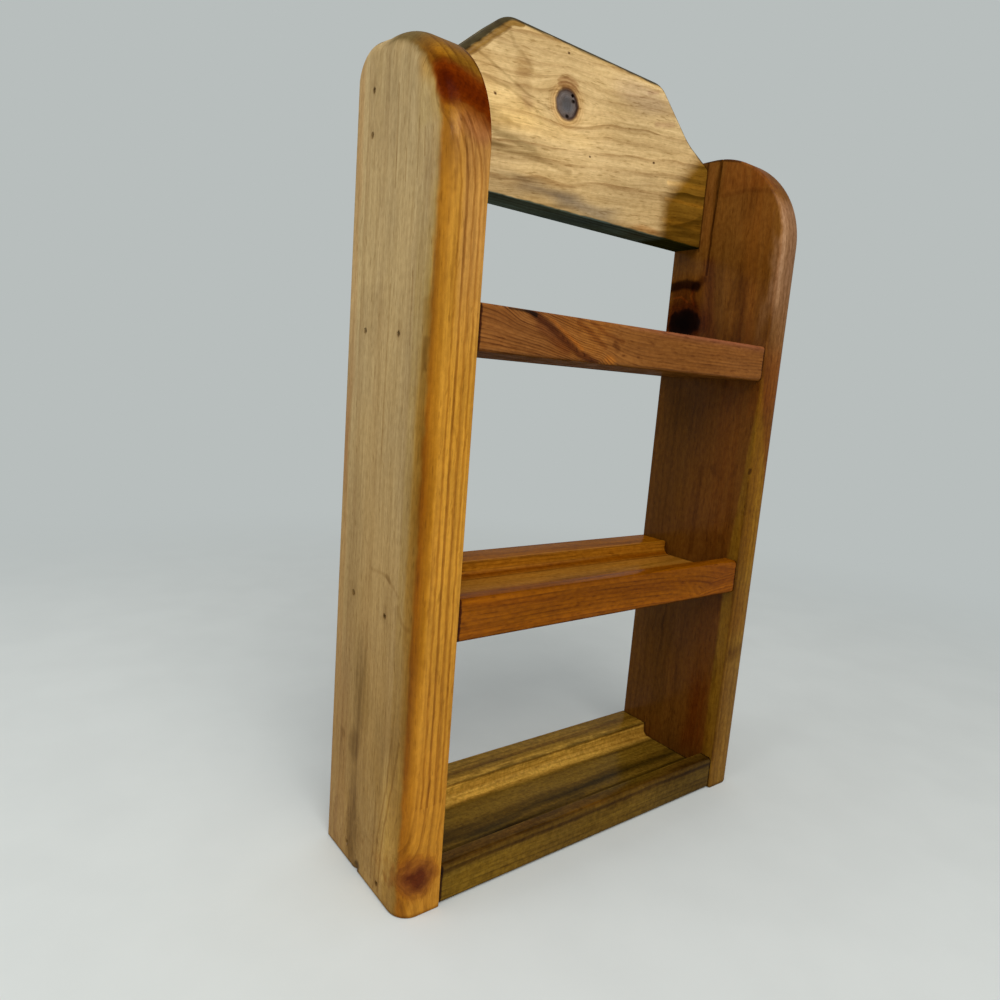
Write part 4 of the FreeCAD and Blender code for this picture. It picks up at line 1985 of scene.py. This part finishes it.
    knots = (
        Knot(
            (-108, -31, 340.5), (1, 0.05, -0.42), half_width=9.2, half_length=8.8, reach=13,
            rim=(112, 52, 10), body=(110, 44, 2), core=(94, 32, 0), halo=(0.6, 0.44, 0.3), halo_reach=1.6,
            wobble=4.5, year=1.6, edge=0.3, heart_only=True),
        Knot(
            (-109.5, -37, 18.5), (-0.1, -1, 0.05), half_width=7.4, half_length=8, reach=10,
            rim=(142, 84, 28), body=(124, 66, 20), core=(98, 42, 10), halo=(0.8, 0.66, 0.5),
            halo_reach=1.7, wobble=7, year=1.5, edge=0.5, ripple=0.4),
    )
    return WoodFinish(
        name="left_side_pine", grain=Grain.UPRIGHT, pith=(-20, -8, 0), spacing=4, wander=3.2,
        late_start=0.5, contrast=0.85, heart=WoodTone((214, 154, 66), (130, 74, 18)),
        sap=WoodTone((190, 164, 118), (164, 134, 90)), sap_contrast=0.5, streak=(0.86, 0.83, 0.78),
        fine=(0.86, 0.84, 0.8), pore=(0.76, 0.72, 0.64), mottle=(0.88, 0.87, 0.85), sap_zones=sap_zones,
        tints=tints, strokes=strokes, knots=knots)


def right_side_finish(layout: NailLayout) -> WoodFinish:
    """Red-brown inner face with a black knot at the back, and a strip of sapwood at the front.

    Args:
        layout: Where the nails are.

    Returns:
        The finish.
    """
    face = 96.8
    sap_zones = (
        Zone((100, -47, 60), (60, 18, 84), (1, 1.2, 9)),
        Zone((92, -47, 185), (20, 14.8, 60), (2.5, 1.2, 8), lean=(-0.25, -0.068, 0)),
    )
    tints = (
        patch((112, -37, 350), (14.8, 6, 70), (1.2, 3, 40), (1.7, 2.3, 8), 0.9, 0.2),
        patch((face, 0, 285), (6, 34, 36), (4, 9, 22), (0.8, 0.76, 0.5), 0.9, 0.3),
        patch((face, 24, 294), (10, 11, 8), (4, 3, 3), (0.42, 0.26, 0.2), 0.9, 0.3),
        Tint(Zone((face, 26, 288), (6, 15, 18), (3, 3, 5)), (1, 0.9, 0.7), 0.85, matt=True),
        band((106, -37, 246), (9, 6, 16), (3, 3, 10), (1.24, 0.94, 0.6), 0.9, 0.2),
        band((face, 14.8, 350), (6, 3, 26), (3, 1.2, 6), (1.3, 1.3, 1.5), 0.9, 0.2),
        band((face, -16, 364), (6, 22, 13), (3, 4, 3), (1.05, 0.9, 0.84), 0.9, 0.3),
        patch((face, -21, 190), (6, 9, 180), (4, 7, 20), (1.02, 0.88, 0.66), 0.9, 0.4),
        patch((face, 20, 140), (6, 16, 110), (4, 8, 20), (0.9, 0.96, 0.76), 0.9, 0.4),
        # Inner face darker below the upper shelf: partly darker wood, partly painted shade.
        band((face, 0, 100), (6, 60, 175), (4, 9, 10), (0.74, 0.68, 0.5)),
        patch((face, -21, 40), (6, 7, 24), (4, 4, 12), (0.84, 0.6, 0.45), 0.9, 0.3),
        patch((108, -40, 172), (20, 8, 1), (2, 2, 1.5), (0.78, 0.74, 0.68), 0.8),
        patch((109, -40, 86), (12, 5.5, 4), (1.6, 1.6, 4), (0.54, 0.44, 0.34), 0.9, 0.2),
        band((109, -39, 185), (12, 4.6, 52), (1.6, 1.6, 16), (0.9, 0.74, 0.36), 0.9, 0.2),
        band((109, -39, 112), (12, 4.6, 16), (1.6, 1.6, 8), (0.8, 0.66, 0.62), 0.9, 0.2),
        band((109, -39, 40), (12, 4.6, 38), (1.6, 1.6, 14), (0.88, 0.82, 1.25), 0.9, 0.2),
        # Darker foot: partly dirt on the bottom edge, partly a painted contact shadow.
        band((108, 0, 0), (30, 80, 1), (1, 1, 1.2), (0.4, 0.36, 0.3)),
        *nail_stains(layout, 1),
    )
    strokes = (
        Stroke(at_x(face, (8.6, 371), (9.2, 350), (10, 330), (10, 306)), 0.4, 0.9, (0.4, 0.33, 0.26), 0.9),
        Stroke(at_x(face, (16, 299.5), (25, 301.5), (38, 299.5)), 1.6, 2.4, (0.12, 0.09, 0.08), 0.9),
        Stroke(at_x(face, (17, 289), (20, 294), (18, 298)), 0.2, 1.1, (1.8, 1.4, 1.3), 0.7),
        Stroke(at_x(face, (22, 290.5), (27, 294), (33, 293)), 0.1, 0.9, (1.9, 1.5, 1.4), 0.7),
        Stroke(at_x(face, (12, 303), (18, 299)), 1.2, 2.4, (0.4, 0.3, 0.26), 0.8),
        Stroke(at_x(face, (0, 258), (5, 282), (9, 312)), 1.6, 4.5, (0.74, 0.54, 0.44), 0.8),
        Stroke(at_x(face, (-28, 347.5), (-12, 350.5), (5, 349.5)), 0.4, 1.6, (0.76, 0.67, 0.6), 0.7),
        Stroke(at_x(face, (-3, 192), (-2.5, 140)), 0.6, 2.2, (0.7, 0.64, 0.56), 0.8),
        Stroke(at_x(face, (18, 371), (18, 320)), 0.3, 0.8, (0.4, 0.34, 0.28), 0.85),
        Stroke(at_x(face, (-36.3, 195.6), (-36.2, 193.8)), 0.4, 1, (0.4, 0.32, 0.26), 0.9),
        Stroke(at_x(face, (-36.6, 18), (-36.6, 120), (-36.6, 188)), 0.2, 1.1, (0.58, 0.5, 0.38), 0.85),
        # Pale line down the inner front arris: a painted highlight.
        Stroke(
            at_x(99.4, (-39.4, 290), (-39.2, 322), (-37.4, 336.8), (-32, 349.8)),
            1.4, 4, (1.75, 1.95, 2.3), 0.8),
        Stroke(at_x(face, (-8, 262), (-10, 285), (-4, 304)), 1, 5, (1.26, 1.26, 1.3), 0.8),
        Stroke(at_x(face, (-25, 262), (-23, 296)), 0.8, 4, (1.2, 1.16, 1.1), 0.8),
        Stroke(at_x(face, (-16, 262), (-17.5, 288), (-13, 310)), 0.6, 3, (0.78, 0.74, 0.66), 0.8),
        Stroke(at_x(97.2, (-36.6, 268), (-36.6, 318)), 0.5, 1.6, (0.74, 0.66, 0.56), 0.8),
        Stroke(at_x(96.9, (20, 370.8), (8, 370.4), (-4, 367.2)), 0.5, 0.9, (0.24, 0.22, 0.18), 0.85),
    )
    knots = (
        Knot(
            (face, 23.5, 278), (-1, 0.08, 0), half_width=12.5, half_length=8.8, reach=20, rim=(34, 12, 3),
            body=(20, 6, 2), core=(12, 4, 2), halo=(0.56, 0.36, 0.28), halo_reach=1.9, wobble=5, year=1.2,
            edge=0.12, ripple=0.5),
    )
    return WoodFinish(
        name="right_side_pine", grain=Grain.UPRIGHT, pith=(150, -15, 0), spacing=3, wander=6, curl=3,
        contrast=0.5, heart=WoodTone((124, 80, 30), (92, 54, 14)),
        sap=WoodTone((146, 108, 36), (104, 72, 18)), streak=(0.86, 0.82, 0.74), cloud=(1.2, 1.2, 1.14),
        fine=(0.88, 0.85, 0.8), pore=(0.74, 0.68, 0.6), mottle=(0.8, 0.76, 0.7), sap_zones=sap_zones,
        tints=tints, strokes=strokes, knots=knots)


def header_finish(marks: HeaderMarks) -> WoodFinish:
    """Pale straw face with grey streaks, one round knot and an amber lower right end.

    Args:
        marks: Where the header's small holes are.

    Returns:
        The finish.
    """
    face = 18.2
    hub = marks.hub
    smoke = (0.66, 0.62, 0.54)
    sap_zones = (Zone((93, 20, 330), (31, 30, 47), (6, 3, 9), lean=(0, 0, 1.1)),)
    tints = (
        patch((83, face, 332), (19, 20, 9), (6, 5, 5), (0.66, 0.62, 0.5), 0.9, 0.5),
        patch((-78, face, 348), (30, 20, 12), (12, 5, 8), smoke, 0.9, 0.8),
        patch((-50, face, 345), (24, 20, 6), (10, 5, 4), smoke, 0.9, 0.8),
        patch((-38, face, 328), (30, 20, 5), (8, 5, 3), (0.72, 0.72, 0.74), 0.95, 0.6),
        patch((40, face, 345), (26, 20, 40), (14, 5, 14), (0.8, 0.78, 0.75), 0.9, 0.6),
        patch((-38, face, 357), (20, 20, 4), (8, 5, 3), (1.08, 1.06, 0.98)),
        patch((-23, face, 328.5), (19, 20, 2.4), (9, 5, 3.4), (0.54, 0.54, 0.64), 0.9, 0.4),
        patch((4, face, 326), (20, 20, 3.6), (9, 5, 3.4), (0.42, 0.45, 0.6), 0.9, 0.15),
        spot((38, face, 389), (22, 20, 8), (0.82, 0.82, 0.98), 0.9, 0.2),
        spot((-58, face, 360), (26, 20, 8), (1.24, 1.24, 1.16)),
        # Brighter middle of the face: a painted broad highlight.
        spot((14, face, 355), (38, 20, 15), (1.12, 1.12, 1.12), 0.9, 0.2),
        spot((-7, face, 358), (12, 8, 3.6), (1.12, 1.12, 1.08)),
        spot((-42.5, face, 372), (5, 8, 10), (0.74, 0.68, 0.62), 0.9, 0.4),
        patch((0, face, 320), (100, 20, 3.8), (9, 5, 2.4), (0.66, 0.6, 0.5), 0.9, 0.3),
        spot((50, face, 323.5), (12, 20, 3), (0.84, 0.68, 0.55)),
        spot((-40, face, 365), (3.5, 8, 4), (0.72, 0.64, 0.62), 0.8, 0.3),
        spot((-15, face, 382.5), (6, 8, 3.6), (0.66, 0.54, 0.46), 0.9, 0.3),
        spot((-44, face, 381), (5, 8, 7), (0.78, 0.7, 0.6), 0.9, 0.5),
        spot((-70, face, 372), (12, 8, 9), (0.82, 0.74, 0.62), 0.9, 0.5),
        band((0, 27.2, 385), (120, 8.3, 53), (3, 0.5, 3), (0.05, 0.055, 0.04), 0.97),
        # Nearly black underside without varnish: painted shade under the header.
        Tint(Zone((0, 28, 317), (120, 30, 5.3), (3, 3, 0.4)), (0.12, 0.25, 0.46), 1, matt=True),
        band((-97.2, 28, 345), (0.7, 30, 60), (0.6, 3, 3), (0.35, 0.3, 0.22)),
    )
    strokes = (
        Stroke(
            at_y(18.6, (-95, 367), (-84, 371.4), (-77.3, 375.4), (-53.5, 396), (-46, 398.4)),
            1.1, 0.8, (0.36, 0.26, 0.07), 0.9),
        Stroke(at_y(18.2, (-83.6, 369.8), (-76.4, 374), (-52.6, 394.6)), 0.1, 0.6, (0.5, 0.42, 0.3), 0.85),
        Stroke(at_y(25, (-82, 376.4), (-56, 399)), 0.5, 2.2, (2.6, 2.4, 1.3), 0.8),
        Stroke(
            at_y(face, (-44, 398.4), (52, 398.4), (60, 393), (80, 375)),
            0.2, 1.6, (0.66, 0.58, 0.4), 0.7),
        Stroke(
            at_y(face, (-53.1, 392.3), (-49.9, 388.1), (-43.4, 384.8), (-38.8, 381.3)),
            0.3, 1.4, smoke, 0.55),
        Stroke(at_y(face, (-69, 379.2), (-57, 375.3), (-40.9, 369.8), (-26.7, 366.5)), 0.2, 1, smoke, 0.75),
        Stroke(at_y(face, (-66, 371), (-50, 368.5), (-30, 362.5)), 0.2, 0.9, smoke, 0.6),
        Stroke(at_y(face, (-92, 353), (-61, 349.5), (-34, 346)), 0.4, 2.4, (0.6, 0.58, 0.5), 0.75),
        Stroke(at_y(face, (-92, 346), (-58, 343), (-30, 342.5), (-10, 341)), 0.3, 2, smoke, 0.75),
        Stroke(at_y(face, (-90, 360), (-62, 356), (-44, 354)), 0.2, 1.6, smoke, 0.6),
        Stroke(arc(face, hub, 10.2, 50, 130), 0.2, 0.9, (0.6, 0.48, 0.42), 0.75),
        Stroke(arc(face, hub, 12, 60, 125), 0.2, 1.1, (0.66, 0.54, 0.46), 0.7),
        Stroke(arc(face, hub, 6.4, -80, 55), 0.3, 1, (0.42, 0.34, 0.34), 0.8),
        Stroke(at_y(face, (49, 379), (56, 380.4), (63, 382.4)), 0.4, 1.8, (0.74, 0.64, 0.68), 0.6),
        Stroke(at_y(face, (41, 392.8), (48, 395.2)), 0.4, 1.4, (0.76, 0.66, 0.7), 0.6),
        Stroke(at_y(face, (63, 332), (97, 332.6)), 0.4, 1.8, (1.5, 1.45, 1.3), 0.6),
        Stroke(at_y(face, (63, 343.4), (97, 345)), 0.3, 1.2, (1.6, 1.5, 1.3), 0.7),
        Stroke(at_y(face, (64, 352), (97, 356)), 0.6, 1.6, (1.5, 1.45, 1.3), 0.7),
        Stroke(arc(face, hub, 8.7, 140, 300), 0.4, 1, (1.16, 1.16, 1.16), 0.8),
        Stroke(arc(face, hub, 7.2, -25, 115), 0.4, 1.6, (0.46, 0.36, 0.3), 0.85),
        *(Stroke(at_y(face, (x - 0.4, z), (x + 0.4, z)), 0.5, 0.7, (0.22, 0.17, 0.14), 0.95)
          for x, z in marks.pits),
        *(Stroke(at_y(face, (x - 0.3, z), (x + 0.3, z)), 0.3, 0.6, (0.3, 0.24, 0.2), 0.95)
          for x, z in marks.pins),
    )
    knots = (
        Knot(
            (hub[0], face, hub[1]), (0.05, -1, 0), half_width=7.1, half_length=7.5, reach=15,
            rim=(100, 80, 68), body=(116, 106, 102), core=(98, 96, 98), halo=(0.88, 0.8, 0.7),
            halo_reach=1.9, wobble=1.4, year=0.9, edge=0.12, ripple=0.6),
    )
    return WoodFinish(
        name="header_pine", grain=Grain.LENGTHWISE, pith=(0, 80, 312), spacing=4.2, slope=(0, 0, 0.12),
        wander=10, curl=2.4, contrast=0.85, heart=WoodTone((234, 201, 145), (186, 148, 96)),
        sap=WoodTone((150, 108, 34), (88, 60, 10)), sap_contrast=1, streak=(0.85, 0.82, 0.77),
        cloud=(1.08, 1.07, 1.04), fine=(0.86, 0.84, 0.79), pore=(0.7, 0.65, 0.56),
        mottle=(0.88, 0.86, 0.82), sap_zones=sap_zones, tints=tints, strokes=strokes, knots=knots)


def upper_shelf_finish() -> WoodFinish:
    """Red-brown shelf whose front edge is crossed by a slanting branch.

    Returns:
        The finish.
    """
    face = -36
    sap_zones = (Zone((66, -36, 255), (70, 8, 16), (24, 4, 4)),)
    tints = (
        patch((-40, face, 256), (15, 5, 8), (7, 4, 4), (1.22, 1.12, 0.8), 0.8, 0.4),
        spot((-22, face, 248), (3.4, 3, 2.2), (1.5, 1.35, 0.9)),
        patch((-72, face, 255), (25, 4, 12), (9, 2, 3), (0.86, 0.78, 0.8), 0.8, 0.3),
        band((55, face, 264), (45, 4, 3), (14, 2, 1.6), (0.86, 0.8, 1.2), 0.8, 0.3),
        # Pale bluish strip along the rounded top front edge: a painted highlight.
        band((45, face, 264.5), (52, 6, 1.6), (20, 2, 1.4), (1.2, 1.15, 2), 0.85),
        # Dark underside without varnish: painted shade under the shelf.
        Tint(Zone((0, 0, 240), (120, 60, 5.7), (3, 3, 0.5)), (0.4, 0.42, 0.36), 1, matt=True),
        *shelf_ends(255),
    )
    strokes = (
        Stroke(
            at_y(face, (-72, 264.5), (-62, 260), (-51, 254), (-42, 249), (-30, 245.5)),
            0.6, 2.2, (0.3, 0.2, 0.22), 0.9, pull=(0, 0, 14), pull_reach=9, sided=True),
        Stroke(at_y(face, (-66, 259), (-58, 254.5), (-49, 250)), 0.4, 3.4, (0.66, 0.54, 0.6), 0.8),
        Stroke(at_y(face, (-60, 262), (-50, 256.5), (-40, 251)), 0.3, 1, (1.35, 1.2, 0.9), 0.8),
        Stroke(at_y(face, (-82, 264.4), (-72, 263.9), (-68, 262.6)), 0.5, 0.9, (0.14, 0.14, 0.1), 0.95),
        Stroke(at_y(face, (-44, 262.5), (-35, 258), (-26, 253)), 0.4, 1.6, (0.66, 0.54, 0.44), 0.8),
        Stroke(at_y(face, (-36, 263.5), (-26, 259), (-15, 256.5)), 0.3, 1.4, (0.7, 0.58, 0.48), 0.8),
        Stroke(at_y(face, (-20, 255), (-18.2, 253.4)), 0.5, 2.2, (0.5, 0.4, 0.33), 0.85),
        Stroke(at_y(face, (-14.6, 250.5), (-13.6, 250.5)), 0.2, 0.7, (0.5, 0.4, 0.33), 0.8),
        Stroke(at_y(face, (-4.6, 250.5), (-3.6, 250.5)), 0.2, 0.7, (0.5, 0.4, 0.33), 0.8),
    )
    return WoodFinish(
        name="upper_shelf_pine", grain=Grain.LENGTHWISE, pith=(0, 40, 150), spacing=1.35, wander=3,
        curl=1.2, late_start=0.35, contrast=1, heart=WoodTone((156, 102, 48), (88, 46, 18)),
        sap=WoodTone((146, 92, 40), (84, 44, 16)), sap_contrast=0.5, pore=(0.68, 0.6, 0.52),
        mottle=(0.84, 0.79, 0.74), sap_zones=sap_zones, tints=tints, strokes=strokes)


def middle_shelf_finish() -> WoodFinish:
    """Warm orange-brown shelf.

    Returns:
        The finish.
    """
    face = -36
    tints = (
        patch((10, face, 135), (90, 3, 4.5), (20, 2, 3), (0.82, 0.76, 0.55), 0.9, 0.5),
        patch((0, face, 126), (95, 3, 1.8), (8, 2, 1.5), (1.2, 1.15, 1), 0.8, 0.4),
        patch((-70, face, 140.5), (25, 3, 1.8), (8, 2, 1.5), (1.22, 1.18, 1.1), 0.8, 0.3),
        patch((85, face, 134), (12, 3, 8), (8, 2, 3), (1.05, 0.98, 1.8), 0.8, 0.3),
        band((0, 28, 143), (100, 10.5, 1.2), (8, 1, 0.6), (1.3, 1.5, 1.6), 0.9, 0.3),
        band((0, 17, 139.6), (100, 1.6, 3), (8, 0.7, 1), (1.8, 2.4, 12), 0.9, 0.2),
        # Pale greyish floor of the groove: partly its colour, partly a painted sheen.
        band((0, 4, 134.5), (100, 9.4, 1.2), (8, 2.4, 0.8), (1.55, 2.4, 24), 0.9, 0.3),
        band((0, -15, 134.5), (100, 9, 1.2), (8, 3, 0.8), (1.04, 1.14, 1.6), 0.9, 0.3),
        # Dark underside without varnish: painted shade under the shelf.
        Tint(Zone((0, 0, 119), (120, 60, 5.4), (3, 3, 0.8)), (0.3, 0.26, 0.18), 0.95, matt=True),
        *shelf_ends(133),
    )
    strokes = (
        Stroke(
            at_y(face, (60, 124), (80, 134), (97, 139)),
            0.1, 0.1, (1, 1, 1), 0, pull=(0, 0, 6), pull_reach=12),
        Stroke(at_z(134.6, (-96, 12.4), (96, 12.4)), 0.2, 1.2, (0.6, 0.54, 0.48), 0.8),
        Stroke(at_z(142.3, (-96, 17), (96, 17)), 0.2, 0.8, (0.6, 0.55, 0.5), 0.8),
    )
    return WoodFinish(
        name="middle_shelf_pine", grain=Grain.LENGTHWISE, pith=(0, 10, 40), spacing=2, wander=4,
        contrast=0.7, heart=WoodTone((148, 84, 4), (96, 48, 0)), sap=WoodTone((148, 84, 4), (96, 48, 0)),
        pore=(0.64, 0.58, 0.46), mottle=(0.8, 0.76, 0.68), tints=tints, strokes=strokes)


def bottom_shelf_finish() -> WoodFinish:
    """Dark olive shelf with a yellow band along the back of its groove.

    Returns:
        The finish.
    """
    face = -36
    sap_zones = (Zone((0, 15.6, 12), (110, 4.4, 6.6), (8, 2.6, 0.8)),)
    tints = (
        patch((0, 28, 19), (110, 10.4, 2), (8, 0.8, 1), (2.1, 2.1, 2.1), 0.9, 0.3),
        band((0, 15.4, 16.5), (110, 2, 3), (8, 1, 1.5), (0.84, 0.8, 0.66), 0.9, 0.2),
        patch((0, 3, 11), (110, 5, 3), (8, 4, 2), (1.4, 1.45, 1.3), 0.9, 0.4),
        patch((0, -8.5, 11), (110, 3.6, 3), (8, 2.4, 2), (0.56, 0.55, 0.4), 0.9, 0.3),
        Tint(
            Zone((0, -23, 12), (110, 5.5, 4), (8, 2.5, 2)), (0.46, 0.48, 0.26), 0.85, 0.2, loose=True,
            matt=True),
        spot((-55, -16, 11), (18, 4, 4), (0.5, 0.54, 0.4), 0.9, 0.3),
        spot((20, -12, 11), (26, 3.4, 4), (0.56, 0.58, 0.46), 0.9, 0.4),
        band((0, -32, 19), (110, 3.6, 3), (8, 1, 1.6), (0.66, 0.56, 0.6), 0.95, 0.3),
        patch((-78, face, 6), (40, 3, 8), (16, 2, 3), (1.2, 1.18, 0.86), 0.9, 0.2),
        patch((0, face, 17.5), (110, 3, 2.6), (16, 2, 1.6), (0.66, 0.6, 0.52), 0.9, 0.3),
        patch((76, face, 8), (30, 3, 12), (16, 2, 4), (0.72, 0.74, 0.9), 0.9, 0.2),
        band((110, 0, 15), (46, 60, 20), (20, 3, 3), (0.74, 0.7, 0.62), 0.9, 0.3),
        spot((2, face, 18.4), (8, 2.5, 1.6), (1.6, 1.5, 1.3)),
        spot((-8, -32.5, 19), (15, 3.4, 3), (1.6, 1.55, 1.3), 0.8, 0.3),
        spot((-46, -31, 19), (12, 2.6, 3), (1.5, 1.45, 1.2), 0.8, 0.3),
        spot((34, -30.6, 19), (26, 3, 3), (0.64, 0.7, 0.46), 0.9, 0.2),
        # Darker underside and foot: partly dirt on the bottom edge, partly a painted contact shadow.
        band((0, 0, 0), (120, 60, 1), (3, 3, 1.2), (0.36, 0.32, 0.26), 0.95),
        *shelf_ends(9.5),
    )
    strokes = (
        Stroke(at_y(face, (-97, 15.4), (97, 15.6)), 0.3, 1.4, (0.56, 0.5, 0.42), 0.8),
        Stroke(at_z(11, (-97, -18), (97, -18.4)), 0.3, 1.2, (0.54, 0.5, 0.42), 0.8),
        Stroke(at_z(11.5, (-97, -24), (97, -24.3)), 0.3, 1.2, (0.54, 0.5, 0.42), 0.8),
        Stroke(at_z(18.4, (-97, 17.2), (97, 17.2)), 0.2, 0.8, (0.45, 0.38, 0.3), 0.85),
        Stroke(at_z(19, (-97, 26.5), (97, 27)), 0.6, 1.8, (0.6, 0.52, 0.42), 0.85),
        Stroke(
            at_z(11, (-97, -12), (-55, -14.4), (-15, -10.6), (40, -9), (97, -11)),
            0.7, 2.4, (0.5, 0.5, 0.5), 0.8),
        Stroke(at_z(11, (-97, -19), (-64, -21), (-30, -17), (10, -15.6)), 0.5, 1.8, (0.5, 0.5, 0.5), 0.8),
    )
    return WoodFinish(
        name="bottom_shelf_pine", grain=Grain.LENGTHWISE, pith=(0, -20, -60), spacing=2.6, wander=8,
        contrast=0.6, heart=WoodTone((126, 96, 30), (74, 52, 8)),
        sap=WoodTone((232, 184, 82), (172, 128, 44)), fleck=0.55, mottle=(0.78, 0.76, 0.7),
        sap_zones=sap_zones, tints=tints, strokes=strokes)


def main() -> None:
    """Build the rack piece by piece, then its stage."""
    logging.basicConfig(level=logging.INFO, format="%(name)s: %(message)s")
    groups = WoodGroups()
    nails = NailLayout()
    plates = (HangerPlate("left", -50.0), HangerPlate("right", 50.0))
    marks = HeaderMarks()
    chip = Split(
        face=-118.25, depth=1.4, path=((4, -1, 2.2), (4.2, 1.6, 1.9), (4, 3.6, 1.2), (3.6, 5, 0.2)))
    crack = Split(
        face=96.75, depth=2.5,
        path=((8.5, 373, 0.9), (8.9, 360, 0.9), (9.2, 349, 0.6), (9.9, 334, 0.3), (10, 306, 0.1)))
    SideBoard("left_side", -1.0, left_side_finish(nails), nails, seed=3, splits=(chip,)).build(groups)
    SideBoard("right_side", 1.0, right_side_finish(nails), nails, seed=8, splits=(crack,)).build(groups)
    HeaderBoard(header_finish(marks), plates, marks).build(groups)
    ShelfBoard("upper_shelf", 245.5, upper_shelf_finish()).build(groups)
    ShelfBoard("middle_shelf", 123.5, middle_shelf_finish()).build(groups)
    ShelfBoard("bottom_shelf", 0.0, bottom_shelf_finish()).build(groups)
    zinc = SteelFinish(
        "zinc_plate", (196, 198, 200), (150, 152, 154), grain_size=2.5, rough_low=0.28, rough_high=0.45)
    steel = zinc.material()
    for plate in plates:
        plate.build(steel)
    PlateScrews(plates).build(SteelFinish(
        "plated_screw", (186, 180, 160), (128, 120, 100), grain_size=1.2, rough_low=0.25, rough_high=0.42))
    FinishingNails(nails).build(SteelFinish(
        "dark_nail", (92, 84, 76), (48, 38, 30), grain_size=0.8, rough_low=0.4, rough_high=0.7))
    Studio().build()


if __name__ == "__main__":
    main()
